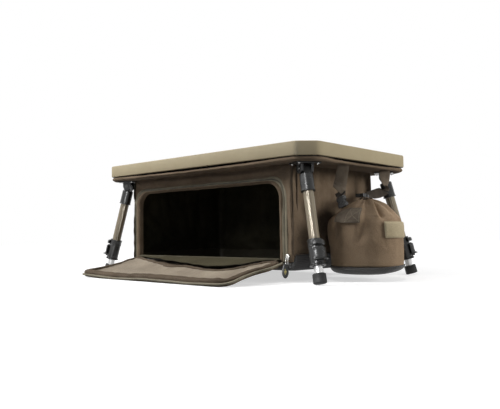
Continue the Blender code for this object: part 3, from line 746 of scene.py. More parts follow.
def octagon(halfLength, halfDepth, chamfer):
    x, y, c = halfLength, halfDepth, chamfer
    return [Vector(p + (0,)) for p in ((x - c, -y), (x, c - y), (x, y - c), (x - c, y),
                                       (c - x, y), (-x, y - c), (-x, c - y), (c - x, -y))]


def bentOutline(corners, bend, step):
    # a closed outline whose corners are rounded
    path = []
    for i, corner in enumerate(corners):
        start = corner + (corners[i - 1] - corner).normalized() * bend
        end = corner + (corners[(i + 1) % len(corners)] - corner).normalized() * bend
        for t in (k / 6 for k in range(7)):
            path.append(start * (1 - t) ** 2 + corner * (2 * t * (1 - t)) + end * t * t)
    return resampled(path, step, closed=True)


def hemSag(x, y):
    # most in the middle of each side, and none at the corners or in the middle of the panel
    reachX, reachY = hem["sagReach"]
    longSide = max(0.0, 1 - (x / reachX) ** 2) * ramp(0.10, 0.16, abs(y))
    shortSide = max(0.0, 1 - (y / reachY) ** 2) * ramp(0.20, 0.27, abs(x))
    return max(longSide, shortSide)


def makeHem():
    low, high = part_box("bag_panel")
    outline = bentOutline(octagon(high.x, high.y, hem["chamfer"]), hem["cornerBend"], hem["step"])
    count = len(outline)
    verts, faces = [], []
    for i, p in enumerate(outline):
        along = (outline[(i + 1) % count] - outline[i - 1]).normalized()
        out = Vector((along.y, -along.x, 0))
        sag = hem["sag"] * hemSag(p.x, p.y)
        for k, (a, z) in enumerate(hem["section"]):
            wave = drift(p.x, p.y, z, 38, 2) * hem["ripple"] * (1 if k > 1 else 0)
            spot = p + out * (a + wave)
            verts.append((spot.x, spot.y, z - sag * hem["sagShares"][k] + wave * 0.7))
        for share in hem["rings"]:
            spot = p * (1 - share)
            verts.append((spot.x, spot.y, low.z + drift(spot.x, spot.y, 0, 20, 4) * 0.0004))
    size = len(hem["section"]) + len(hem["rings"])
    for i in range(count):
        a, b = i * size, (i + 1) % count * size
        for k in range(size - 1):
            faces.append((a + k, b + k, b + k + 1, a + k + 1))
    faces.append([i * size + size - 1 for i in range(count)][::-1])
    faces.append([i * size for i in range(count)])
    obj = fixNormals(objectFrom("panel_cloth", verts, faces))
    dress(obj, finish["brown"], "table", ("bag_panel",), "brown_fabric", 60)
    inset = hem["seamInset"]
    seam = bentOutline(octagon(high.x - inset, high.y - inset, hem["seamChamfer"]),
                       hem["seamBend"], hem["step"])
    seam = [p + Vector((0, 0, low.z - hem["seamDrop"])) for p in seam]
    copiesAlong("hem_stitches", [seam], finish["brownThread"], "table", hem["stitchSpacing"],
                hem["stitch"], closed=True)


makeHem()
print("hem made")


# the storage bag: front, walls, tray, floor and piping
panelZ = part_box("bag_panel")[0].z
trayLow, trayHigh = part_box("bag_tray")
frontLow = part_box("bag_front")[0]
hingeZ = joints["door_hinge"]["pos_m"][2]
bag = {
    "keep": 0.170,
    "frontLevels": (       # half-width, height and bend of each arch, and how far it stands in
        (0.1992, 0.1442, 0.0300, 0.0060), (0.2008, 0.1455, 0.0310, 0.0020),
        (0.2026, 0.1467, 0.0330, -0.0010), (0.2056, 0.1476, 0.0345, -0.0028),
        (0.2100, 0.1484, 0.0360, -0.0034), (0.2145, 0.1492, 0.0376, -0.0024),
        (0.2182, 0.1502, 0.0390, -0.0006), (0.2230, 0.1520, 0.0410, 0.0000),
        (0.2272, 0.1560, 0.0440, -0.0008), (0.2298, 0.1596, 0.0420, -0.0024),
        (0.2312, 0.1640, 0.0340, -0.0028), (0.2318, 0.1690, 0.0220, -0.0020),
        (0.2320, 0.1730, 0.0120, -0.0008), (0.2320, 0.1762, 0.0060, 0.0012)),
    "leftDrag": (0.0120, 0.0080),      # the cloth is dragged to the left of its pattern
    "rightDrag": (0.0010, 0.0085),
    "clothThickness": 0.0022,
    "upperBand": (0.155, 0.163, 0.172, 0.177),     # heights where its folds start and die out
    "margin": (0.2262, 0.2285, 0.2312, 0.2320),    # the strip of cloth beside the piping
    "bandDepth": (0.0026, 0.0014),                 # soft folds and sharp ones
    "cornerDepth": 0.0012,
    "marginDepth": (0.0012, 0.0022, 0.0010),       # even, uneven and waved
    "edgeDepth": (0.0012, 0.0008),                 # of the rolled edge round the mouth
    "slackDepth": 0.0008,
    "wallStep": 0.008,
    "wallRows": 22,
    "wallBend": 0.014,
    "wallBelly": (0.0014, 0.0012),                 # even and uneven
    "wallCloth": {"frames": 26, "slack": 0.022, "pressure": -0.6, "gravity": 0.8,
                  "reach": 0.012, "bending": 0.3},
    "floorInset": 0.0045,
    "floorThickness": 0.0009,
    "floorFall": 0.030,                            # how far from the stiffener it meets the tray
    "piping": ((-0.0006, 0.0017), (0.0125, 0.0017 * 0.9)),   # behind the front, and radius
}


def squashBag(obj):
    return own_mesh(obj)


def dragged(x):
    # where a point of the front's pattern has slid to along x
    side = abs(x)
    inner, outer = bag["leftDrag"] if x < 0 else bag["rightDrag"]
    drag = inner + (outer - inner) * ramp(0.2050, 0.2230, side)
    drag *= (1 - ramp(0.2230, 0.2320, side)) * ramp(0.02, 0.18, side)
    return x - drag


def frontFold(x, z):
    # soft folds of the front's upper band, and creases that run to its top corners
    band = hump(bag["upperBand"], z)
    soft, sharp = bag["bandDepth"]
    wave = (soft * drift(x * 0.5, 0, z * 4.0, 30, 5)
            + sharp * math.sin(z * 560 + x * 5 + 2.0)) * band
    even, uneven, waved = bag["marginDepth"]
    for side in (-1, 1):
        corner = ramp(0.17, 0.226, side * x) * ramp(0.148, 0.160, z) * bag["cornerDepth"]
        across = (side * x - 0.226) * 0.64 + (z - 0.166) * 0.77
        wave += (math.sin(across * 520 + side) + drift(x, 2, z, 90, 15)) * corner
        margin = hump(bag["margin"], side * x) * (1 - band)
        wave += margin * (even + uneven * drift(x, 1, z, 42, 6) + waved * math.sin(z * 240))
    rolled = 1 - ramp(0.2110, 0.2180, abs(x)) if z < 0.140 else 1 - ramp(0.1485, 0.1500, z)
    if rolled > 0 and (abs(x) > 0.2 or z > 0.144):
        soft, sharp = bag["edgeDepth"]
        wave += rolled * (soft * drift(x, 4, z, 60, 16) + sharp * drift(x, 5, z, 130, 17))
    return wave + drift(x, 3, z, 18, 7) * bag["slackDepth"]


def makeFront():
    rows = []
    for *arch, inward in bag["frontLevels"]:
        rows.append([(x, z, inward) for x, z in archPoints(*arch, 12, 10, 70)])
    verts, uvs, faces = [], [], []
    count = len(rows[0])
    for j, row in enumerate(rows):
        for i, (x, z, inward) in enumerate(row):
            edge = min(j / 3, 1.0) * (1.0 if j < 9 else 1.5)
            verts.append((dragged(x), frontLow.y + inward - frontFold(x, z) * edge,
                          frontLow.z + z + 0.0010 * drift(x, 6, z, 40, 18) * (j < 5)))
            uvs.append((i * 0.004, j * 0.004))
    for j in range(len(rows) - 1):
        for i in range(count - 1):
            a = j * count + i
            faces.append((a, a + count, a + count + 1, a + 1))
    obj = objectFrom("bag_front_cloth", verts, faces, uvs)
    modifier(obj, "SUBSURF", levels=1, render_levels=1)
    lined(obj, "brown", "dark", bag["clothThickness"])
    dress(obj, (finish["brown"], finish["dark"]), "table", ("bag_front",), "brown_fabric", 60)
    squashBag(obj)


def wallOutline():
    # the bag's two sides and back, from its front left corner round to its front right
    x, front, back = trayHigh.x, frontLow.y, trayHigh.y
    bend = bag["wallBend"]
    path = [Vector((-x, front, 0)), Vector((-x, back - bend, 0))]
    for k in range(1, 6):
        angle = math.pi - math.pi / 2 * k / 6
        path.append(Vector((-x + bend + bend * math.cos(angle),
                            back - bend + bend * math.sin(angle), 0)))
    mirrored = [Vector((-p.x, p.y, 0)) for p in reversed(path)]
    return resampled(path + mirrored, bag["wallStep"])


def simulated(obj, columns, rows, cloth):
    # a sheet held by its four edges and run as cloth, with each point kept near its start
    start = [v.co.copy() for v in obj.data.vertices]
    edges = [i for i in range(len(start))
             if i // (columns + 1) in (0, rows) or i % (columns + 1) in (0, columns)]
    obj.vertex_groups.new(name="pinned").add(edges, 1.0, "REPLACE")
    made = modifier(obj, "CLOTH")
    stiffness = 12.0
    for key, value in (("vertex_group_mass", "pinned"), ("quality", 6), ("mass", 0.15),
                       ("tension_stiffness", stiffness), ("compression_stiffness", stiffness),
                       ("shear_stiffness", stiffness * 0.3), ("shrink_min", -cloth["slack"]),
                       ("bending_stiffness", cloth["bending"]), ("use_pressure", True),
                       ("uniform_pressure_force", cloth["pressure"])):
        setattr(made.settings, key, value)
    made.settings.effector_weights.gravity = cloth["gravity"]
    made.collision_settings.use_self_collision = False
    made.point_cache.frame_start, made.point_cache.frame_end = 1, cloth["frames"]
    scene.frame_start, scene.frame_end = 1, cloth["frames"]
    for f in range(1, cloth["frames"] + 1):
        scene.frame_set(f)
    applied(obj)
    for v, was in zip(obj.data.vertices, start):
        move = v.co - was
        if move.length > cloth["reach"]:
            v.co = was + move * (cloth["reach"] / move.length)
    scene.frame_set(1)
    obj.vertex_groups.clear()


def makeWalls():
    outline = wallOutline()[::-1]
    low, high = trayHigh.z - 0.001, panelZ + 0.0005
    columns, rows = len(outline) - 1, bag["wallRows"]
    even, uneven = bag["wallBelly"]

    def place(u, v):
        i = min(round(u * columns), columns)
        p = outline[i]
        before, after = outline[max(i - 1, 0)], outline[min(i + 1, columns)]
        along = (after - before).normalized()
        out = Vector((along.y, -along.x, 0))
        height = low + (high - low) * v
        belly = math.sin(math.pi * v) * min(1.0, min(u, 1 - u) * 14)
        push = belly * (even + uneven * drift(p.x, p.y, height, 16, 9))
        return Vector((p.x, p.y, height)) + out * push

    obj = gridSheet("bag_walls", columns, rows, place)
    simulated(obj, columns, rows, bag["wallCloth"])
    modifier(obj, "SUBSURF", levels=1, render_levels=1)
    lined(obj, "brown", "dark", bag["clothThickness"])
    dress(obj, (finish["brown"], finish["dark"]), "table",
          ("bag_side_left", "bag_side_right", "bag_back"), "brown_fabric", 60)
    squashBag(obj)


tray = {
    "cornerBend": 0.012,
    # set in from the outline, and share of the rim's height
    "rings": ((0.0000, 1.00), (-0.0010, 0.72), (-0.0006, 0.42), (0.0004, 0.20), (0.0022, 0.06),
              (0.0060, 0.00)),
    "baseRings": (0.3, 0.6, 0.9),      # shares of the way to the middle of its base
    "ripple": 0.0008,
    "clothThickness": 0.0020,
    "bindingRadius": 0.0018,
}


def trayOutline(inset):
    # the tray seen from above: bent corners, with the same count of points at any inset
    bend = tray["cornerBend"]
    x, front, back = trayHigh.x - inset, trayLow.y + inset, trayHigh.y - inset
    corners = [Vector(p) for p in ((-x, front, 0), (x, front, 0), (x, back, 0), (-x, back, 0))]
    path = []
    for i, corner in enumerate(corners):
        start = corner + (corners[i - 1] - corner).normalized() * bend
        end = corner + (corners[(i + 1) % 4] - corner).normalized() * bend
        path += [start.lerp(corner, k / 4).lerp(corner.lerp(end, k / 4), k / 4)
                 for k in range(5)]
        span = corners[(i + 1) % 4] + (corner - corners[(i + 1) % 4]).normalized() * bend - end
        path += [end + span * (k / 40) for k in range(1, 40)]
    return path


def trayRim(p):
    # the tray's upper edge is low along its front and high at its sides and back
    rise = ramp(trayLow.y + 0.001, trayLow.y + 0.007, p.y)
    return hingeZ + (trayHigh.z - hingeZ) * rise


def makeTray():
    verts = []
    base = trayOutline(0.0)
    count = len(base)
    for inset, height in tray["rings"]:
        for p, edge in zip(trayOutline(inset), base):
            z = trayLow.z + (trayRim(edge) - trayLow.z) * height
            wave = drift(p.x, p.y, height, 30, 11) * tray["ripple"] * (height > 0.05)
            out = Vector((p.x, p.y, 0)).normalized()
            verts.append((p.x + out.x * wave, p.y + out.y * wave, z + wave * 0.6))
    for share in tray["baseRings"]:
        for p in trayOutline(tray["rings"][-1][0]):
            verts.append((p.x * (1 - share), p.y * (1 - share), trayLow.z + 0.0004 * share))
    rings = len(tray["rings"]) + len(tray["baseRings"])
    obj = objectFrom("bag_tray_cloth", verts, tubeFaces(rings, count, first=False))
    lined(obj, "coated", "floor", tray["clothThickness"])
    dress(obj, (finish["coated"], finish["floor"]), "bag_base", ("bag_tray",), "coated_base", 50)
    squashBag(obj)

    edge = [Vector((p.x, p.y, trayRim(p) + 0.0004)) for p in base]
    piping = sweep("tray_binding", edge, circle(tray["bindingRadius"]), (0, 0, 1), closed=True)
    dress(piping, finish["binding"], "bag_base", slot="binding", angle=60)
    squashBag(piping)


def makeFloor():
    low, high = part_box("base_stiffener")
    inset = bag["floorInset"]
    x0, y0, y1 = trayHigh.x - inset, trayLow.y + inset, trayHigh.y - inset

    def place(u, v):
        x, y = x0 * (2 * u - 1), y0 + (y1 - y0) * v
        edge = max(abs(x) - high.x, low.y - y, y - high.y)
        rise = 1 - ramp(0.0, bag["floorFall"], edge)
        z = low.z + 0.0002 + (high.z - low.z + 0.0012) * rise
        return (x, y, z + drift(x, y, 0, 24, 12) * 0.0004 * (1 - rise))

    obj = gridSheet("bag_floor", 92, 54, place)
    modifier(obj, "SOLIDIFY", thickness=bag["floorThickness"], offset=1)
    applied(obj)
    dress(obj, finish["floor"], "bag_base", ("base_stiffener",), "lining", 60)


def makePiping():
    # two welts at each front corner
    for side, label in ((-1, "left"), (1, "right")):
        for k, (behind, r) in enumerate(bag["piping"]):
            y = frontLow.y + behind
            path = []
            for i in range(25):
                z = trayHigh.z - 0.002 + (panelZ - 0.001 - trayHigh.z) * i / 24
                wave = drift(side, k, z, 26, 13)
                path.append(Vector((side * (trayHigh.x + 0.0004 + 0.0008 * wave),
                                    y + 0.0010 * drift(side, k, z, 22, 14), z)))
            obj = sweep(f"piping_{label}_{k + 1}", path, circle(r), (0, 1, 0))
            dress(obj, finish["binding"], "table", slot="binding", angle=60)
            squashBag(obj)


makeFront()
makeWalls()
makeTray()
makeFloor()
makePiping()
print("bag made")


# the zip round the mouth
zipper = {
    "line": (0.2222, 0.1514, 0.0394),      # half-width, height and bend of its arch
    "proud": 0.0009,                       # of the front
    "section": ((-0.0062, -0.0006), (-0.0062, 0.0006), (-0.0046, 0.0013), (-0.0018, 0.0013),
                (-0.0008, 0.0002), (0.0008, 0.0002), (0.0018, 0.0013), (0.0046, 0.0013),
                (0.0062, 0.0006), (0.0062, -0.0006)),
    "toothStep": 0.0017,
    "tooth": (0.0011, 0.0026, 0.0017),
    "toothLift": 0.0006,
    "drawnWidth": 0.55,                    # of the upper run, which is drawn together
}


def makeZip():
    face = frontLow.y - zipper["proud"]
    drawn = zipper["drawnWidth"]
    path = [Vector((dragged(x), face - 0.0008 * drift(x, 7, z, 20, 19),
                    frontLow.z + z + 0.0012 * drift(x, 8, z, 14, 20)))
            for x, z in archPoints(*zipper["line"], 20, 14, 90)]

    def section(i, share):
        # the right upright lies open
        slim = drawn + (1 - drawn) * ramp(0.16, 0.205, path[i].x)
        return [(a * slim, b) for a, b in zipper["section"]]

    tape = sweep("mouth_zip_tape", path, section, (0, -1, 0))
    dress(tape, finish["zip"], "table", ("zip_tape",), "zip_tape", 50)
    squashBag(tape)
    middle = [p + Vector((0, -zipper["toothLift"], 0)) for p in path]
    teeth = copiesAlong("mouth_zip_teeth", [middle], finish["teeth"], "table",
                        zipper["toothStep"], zipper["tooth"], slot="zip_tape")
    squashBag(teeth)


makeZip()
print("zip made")


# the door lies open, in its own plane: x across, out from the hinge, and up off the plane
door = {
    "slope": 12.44,
    "halfWidth": 0.2172,
    "length": 0.1490,
    "leftBend": 0.010,
    "rightBend": 0.024,
    "zipSection": ((-0.0030, -0.0022), (-0.0030, 0.0004), (-0.0010, 0.0012), (0.0014, 0.0011),
                   (0.0027, 0.0002), (0.0028, -0.0010), (0.0014, -0.0024)),
    "roll": ((-0.0078, -0.0010), (-0.0086, 0.0014), (-0.0076, 0.0042), (-0.0050, 0.0060),
             (-0.0022, 0.0062), (-0.0004, 0.0050), (0.0006, 0.0044), (0.0020, 0.0052),
             (0.0042, 0.0056), (0.0062, 0.0044), (0.0070, 0.0020), (0.0062, -0.0008)),
    "hingeRoll": ((-0.0034, -0.0014), (-0.0042, 0.0006), (-0.0034, 0.0026), (-0.0012, 0.0036),
                  (0.0014, 0.0034), (0.0034, 0.0022), (0.0040, 0.0002), (0.0030, -0.0016)),
    # the inner edge of the lining and the roll on it hang forward in the middle
    "innerLine": ((-0.2070, 0.0100), (-0.1900, 0.0120), (-0.1560, 0.0210), (-0.1255, 0.0300),
                  (-0.0950, 0.0400), (-0.0653, 0.0480), (-0.0440, 0.0575), (-0.0240, 0.0600),
                  (0.0060, 0.0545), (0.0280, 0.0580), (0.0486, 0.0640), (0.0837, 0.0705),
                  (0.1150, 0.0700), (0.1420, 0.0640), (0.1620, 0.0480), (0.1737, 0.0270),
                  (0.1900, 0.0130), (0.2070, 0.0095)),
    "lipLine": ((-0.2060, 0.0060), (-0.1850, 0.0095), (-0.1258, 0.0205), (-0.0580, 0.0355),
                (0.0003, 0.0460), (0.0460, 0.0560), (0.0819, 0.0620), (0.1200, 0.0600),
                (0.1500, 0.0450), (0.1750, 0.0180), (0.2060, 0.0060)),
    "shell": {"inset": 0.0035, "up": -0.0026, "columns": 80, "rows": 30},
    "shellStart": 0.001,
    "shellThickness": 0.0036,
    "lining": {"inset": 0.0120, "up": 0.0020, "columns": 84, "rows": 26},
    "lift": {"waves": 0.0016, "left": 0.0018, "right": 0.0030, "sag": 0.0022,
             "uneven": 0.0009},
    "liningThickness": 0.0007,
    "liningCloth": {"frames": 18, "slack": 0.014, "pressure": 0.25, "gravity": 0.3,
                    "reach": 0.0030, "bending": 0.8},
    "tapeInset": 0.0024,
    "toothInset": 0.0002,
    "tooth": (0.0011, 0.0018, 0.0012),
    "zipDrop": 0.0006,
    "rollInset": 0.0100,
    "hingeRollLift": 0.0022,
    # the edge of the cloth over the hinge
    "lipInset": 0.012,
    "lipFold": 0.3,            # the share of it that climbs from the floor to the hinge
    "lipCrest": 0.0030,
    "lipThickness": 0.0014,
}
doorHinge = Vector(joints["door_hinge"]["pos_m"])
doorSlope = math.radians(door["slope"])


def doorPlace(x, out, up):
    s, c = math.sin(doorSlope), math.cos(doorSlope)
    return Vector((x, doorHinge.y - out * c - up * s, doorHinge.z - out * s + up * c))


doorUp = tuple(doorPlace(0, 0, 1) - doorPlace(0, 0, 0))


def doorLift(x, out):
    # how far the cloth rises off the flat plane of the door
    lift = door["lift"]
    share = out / door["length"]
    edge = ramp(0.35, 1.0, share)
    waves = (0.5 + 0.5 * math.sin(x * 31 + 1.4)) * lift["waves"] * edge
    left = lift["left"] * ramp(0.12, 0.215, -x) * edge
    right = lift["right"] * ramp(0.12, 0.215, x) * hump((0.2, 0.6, 0.7, 1.0), share)
    sag = lift["sag"] * math.sin(math.pi * min(share, 1.0)) * (1 - ramp(0.14, 0.21, abs(x)))
    uneven = lift["uneven"] * drift(x, out, 0, 22, 21) * ramp(0.02, 0.05, out)
    return waves + left + right - sag + uneven


def lineAt(line, x):
    # out of a hanging edge at x, along a smooth line through its stops
    for (x0, o0), (x1, o1) in zip(line, line[1:]):
        if x <= x1:
            return o0 + (o1 - o0) * ramp(x0, x1, x)
    return line[-1][1]


def doorArch(inset, step=0.006, start=0.004):
    # the door's edge line, set in from its rim, as (x, out) pairs from left to right
    w, h = door["halfWidth"] - inset, door["length"] - inset
    pairs = [(-w, start)]
    for side, bend in ((-1, door["leftBend"]), (1, door["rightBend"])):
        bend = max(bend - inset * 0.6, 0.003)
        for k in range(9):
            angle = math.pi / 2 * (k / 8 if side < 0 else 1 - k / 8)
            pairs.append((side * (w - bend + bend * math.cos(angle)),
                          h - bend + bend * math.sin(angle)))
    pairs.append((w, start))
    path = resampled([(x, out, 0) for x, out in pairs], step)
    return [(p.x, p.y) for p in path]


def doorHalf(out, side, inset):
    # half-width of the door at a distance from the hinge
    w, h = door["halfWidth"] - inset, door["length"] - inset
    bend = max((door["leftBend"] if side < 0 else door["rightBend"]) - inset * 0.6, 0.003)
    over = min(max(0.0, out - (h - bend)), bend)
    return w - bend + math.sqrt(max(bend * bend - over * over, 0.0))


def doorSheet(name, shape, start):
    # a sheet on the door, from a start that is a number or a line out to the door's end
    inset = shape["inset"]
    top = door["length"] - inset

    def place(u, v):
        x0 = (2 * u - 1) * (door["halfWidth"] - inset)
        first = start if isinstance(start, float) else lineAt(start, x0) + 0.004
        out = first + (top - first) * v
        x = (2 * u - 1) * doorHalf(out, 2 * u - 1, inset)
        return doorPlace(x, out, shape["up"] + doorLift(x, out))

    return gridSheet(name, shape["columns"], shape["rows"], place)


def zipPath(inset):
    return [doorPlace(x, out, doorLift(x, out) - door["zipDrop"]) for x, out in doorArch(inset)]


def makeDoorShell():
    shell = doorSheet("door_shell", door["shell"], door["shellStart"])
    modifier(shell, "SOLIDIFY", thickness=door["shellThickness"], offset=1)
    modifier(shell, "BEVEL", width=0.0008, segments=2, limit_method="ANGLE")
    applied(shell)
    dress(shell, finish["brown"], "door", ("door_panel",), "brown_fabric", 60)

    tape = sweep("door_zip_edge", zipPath(door["tapeInset"]), door["zipSection"], doorUp)
    dress(tape, finish["zip"], "door", ("door_zip_tape",), "zip_tape", 60)
    copiesAlong("door_zip_teeth", [zipPath(door["toothInset"])], finish["teeth"], "door",
                zipper["toothStep"], door["tooth"], slot="zip_tape")


def makeDoorRolls():
    # the binding's roll, fullest along the outer edge
    line = doorArch(door["rollInset"], 0.004, 0.010)
    path = []
    for x, out in line:
        wobble = 0.0014 * drift(x, out, 1, 40, 22)
        outerRun = ramp(0.10, 0.135, out) * (1 - ramp(0.10, 0.19, x))
        path.append(doorPlace(x + wobble * (1 if abs(x) > 0.18 else 0.2),
                              out + wobble - 0.0006 * outerRun,
                              doorLift(x, out) + 0.0006 * drift(x, out, 2, 34, 23)))

    def rollSection(i, share):
        x, out = line[i]
        outerRun = ramp(0.09, 0.135, out) * (1 - ramp(0.12, 0.20, x))
        wide = 0.72 + 0.34 * outerRun + 0.10 * drift(x, out, 3, 50, 24)
        high = 0.66 + 0.40 * outerRun + 0.14 * drift(x, out, 4, 70, 25)
        pinch = 1 + 0.5 * math.exp(-((x - 0.185) / 0.010) ** 2) * ramp(0.10, 0.13, out)
        return [(a * wide, b * high * pinch) for a, b in door["roll"]]

    roll = sweep("door_roll", path, rollSection, doorUp)
    dress(roll, finish["binding"], "door", ("door_binding",), "binding", 70)

    # a second roll hangs forward of the hinge, with a slit between it and the lining
    span = door["innerLine"][-1][0]
    path = []
    for i in range(141):
        x = -span + 2 * span * i / 140
        out = lineAt(door["innerLine"], x)
        path.append(doorPlace(x, out + 0.0008 * drift(x, 0, 5, 50, 26),
                              doorLift(x, out) + door["hingeRollLift"]
                              + 0.0014 * drift(x, 1, 5, 30, 27)))

    def hingeSection(i, share):
        swell = 0.86 + 0.24 * drift(share * 0.42, 0, 6, 60, 28)
        return [(a * swell, b * swell) for a, b in door["hingeRoll"]]

    near = sweep("door_hinge_roll", path, hingeSection, doorUp)
    dress(near, finish["binding"], "door", slot="binding", angle=70)


def makeDoorLining():
    shape = door["lining"]
    lining = doorSheet("door_lining_cloth", shape, door["innerLine"])
    simulated(lining, shape["columns"], shape["rows"], door["liningCloth"])
    modifier(lining, "SUBSURF", levels=1, render_levels=1)
    modifier(lining, "SOLIDIFY", thickness=door["liningThickness"], offset=-1)
    applied(lining)
    dress(lining, finish["lining"], "door", ("door_lining",), "lining", 60)


def makeHingeCloth():
    # the bag floor's cloth runs on over the hinge, and its edge hangs over the door
    fold = door["lipFold"]

    def place(u, v):
        x = (2 * u - 1) * (door["halfWidth"] - door["lipInset"])
        inner = Vector((x, frontLow.y + 0.0030, hingeZ - 0.0040))
        crest = doorPlace(x, 0.0, door["lipCrest"])
        if v < fold:
            arch = door["lipCrest"] * math.sin(math.pi * v / (2 * fold))
            return inner.lerp(crest, v / fold) + Vector((0, 0, arch))
        out = lineAt(door["lipLine"], x) * (v - fold) / (1 - fold)
        up = 0.0056 + 0.0010 * drift(x, out, 0, 30, 29) - 0.0026 * (1 - ramp(0.0, 0.012, out))
        return doorPlace(x, out, up)

    lip = gridSheet("door_hinge_cloth", 96, 26, place)
    modifier(lip, "SOLIDIFY", thickness=door["lipThickness"], offset=-1)
    applied(lip)
    lip.data.materials.append(finish["floor"])
    smoothed(lip, 60)
    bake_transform(lip)
    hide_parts("door_hinge_strip")


makeDoorShell()
makeDoorRolls()
makeDoorLining()
makeHingeCloth()
print("door made")


def refined(name, source, material, body, bevel, segments, slot, angle=32):
    # a copy of a hard CAD part with its edges eased, which stands for its node
    mesh = frame["nodes"][source].data.copy()
    obj = bpy.data.objects.new(name, mesh)
    scene.collection.objects.link(obj)
    bm = bmesh.new()
    bm.from_mesh(mesh)
    bmesh.ops.remove_doubles(bm, verts=bm.verts, dist=0.00001)
    bmesh.ops.dissolve_limit(bm, angle_limit=math.radians(1), verts=bm.verts, edges=bm.edges)
    bm.to_mesh(mesh)
    bm.free()
    if bevel:
        modifier(obj, "BEVEL", width=bevel, segments=segments, limit_method="ANGLE",
                 angle_limit=math.radians(angle), use_clamp_overlap=True)
    smoothed(obj, angle)
    modifier(obj, "WEIGHTED_NORMAL", keep_sharp=True, weight=60)
    applied(obj)
    return dress(obj, material, body, (source,), slot, angle=0)


puller = {
    "turn": 42,
    "clear": 0.0046,
    "thick": 0.0030,
    "half": ((0.0, 0.0010), (0.0024, 0.0004), (0.0040, -0.0040), (0.0054, -0.0090),
             (0.0062, -0.0140), (0.0052, -0.0188), (0.0028, -0.0230), (0.0, -0.0246)),
    "bevel": 0.0007,
    "inlay": (0.0056, 0.0024, -0.0125),    # half-height, half-width and middle
    "inlayDepth": 0.0006,
    "inlayProud": 0.0004,
    "inlayBevel": 0.0002,
}


def makeZipPull():
    refined("slider_body", "zip_slider", finish["steel"], "zip_slider", 0.0006, 3, "steel")
    refined("puller_wire", "puller_link", finish["steel"], "zip_puller", 0.0, 1, "steel", 70)
    low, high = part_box("zip_puller")
    centre = Vector(((low.x + high.x) / 2, (low.y + high.y) / 2 - puller["clear"], high.z))
    turn = math.radians(puller["turn"])
    side = Vector((math.cos(turn), math.sin(turn), 0))
    face = Vector((side.y, -side.x, 0))

    def plate(name, outline, front, back, bevel):
        count = len(outline)
        verts = [centre + side * a + Vector((0, 0, z)) + face * d
                 for d in (front, back) for a, z in outline]
        faces = [tuple(range(count)), tuple(range(2 * count - 1, count - 1, -1))]
        faces += [(i, (i + 1) % count, count + (i + 1) % count, count + i) for i in range(count)]
        obj = fixNormals(objectFrom(name, verts, faces))
        modifier(obj, "BEVEL", width=bevel, segments=2, limit_method="ANGLE")
        return applied(obj)

    right = catmull([Vector((a, z, 0)) for a, z in puller["half"]], 4)
    outline = [(p.x, p.y) for p in right] + [(-p.x, p.y) for p in right[-2:0:-1]]
    half = puller["thick"] / 2
    tag = plate("puller_tag", outline, half, -half, puller["bevel"])
    dress(tag, finish["black"], "zip_puller", ("zip_puller",), "puller", 40)
    long, wide, middle = puller["inlay"]
    outline = [(0, middle + long), (wide, middle), (0, middle - long), (-wide, middle)]
    for label, sign in (("front", 1), ("back", -1)):
        ends = sorted((sign * half - sign * puller["inlayDepth"],
                       sign * half + sign * puller["inlayProud"]))
        inlay = plate("puller_inlay_" + label, outline, ends[1], ends[0], puller["inlayBevel"])
        dress(inlay, finish["inlay"], "zip_puller", slot="puller", angle=0)


makeZipPull()
refined("table_board", "under_board", finish["black"], "table", 0.0, 1, "black_plastic")


top = {
    "cornerBend": 0.0055,
    "step": 0.0040,
    # profile from the middle of the deck round the rim to the underside: set in, height
    "profile": ((0.0120, 0.0), (0.0034, 0.0), (0.0016, -0.0003), (0.0005, -0.0011),
                (0.0, -0.0026), (0.0, -0.0130), (0.0, -0.0232), (0.0004, -0.0244),
                (0.0014, -0.0251), (0.0026, -0.0254)),
    "wall": 0.0035,
    "deck": 0.0040,
    "chamferFall": 0.586,      # how much shorter a corner's cut gets for each metre set in
}


def makeTop():
    low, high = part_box("table_top")
    source = frame["nodes"]["table_top"].data
    corner = max(v.co.x for v in source.vertices if abs(v.co.y - high.y) < 0.0004)
    chamfer = high.x - corner
    verts = []
    rings = [(inset, high.z + z) for inset, z in top["profile"]]
    rings += [(top["wall"], low.z + 0.0002), (top["wall"], high.z - top["deck"])]
    count = 0
    for inset, z in rings:
        corners = octagon(high.x - inset, high.y - inset, chamfer - top["chamferFall"] * inset)
        outline = bentOutline(corners, top["cornerBend"], top["step"])
        count = count or len(outline)
        outline = outline if len(outline) == count else resampledTo(outline, count)
        verts += [(p.x, p.y, z) for p in outline]
    obj = fixNormals(objectFrom("top_shell", verts, tubeFaces(len(rings), count)))
    dress(obj, finish["top"], "table", ("table_top",), "olive_top", 35)


makeTop()
print("zip pull and top made")


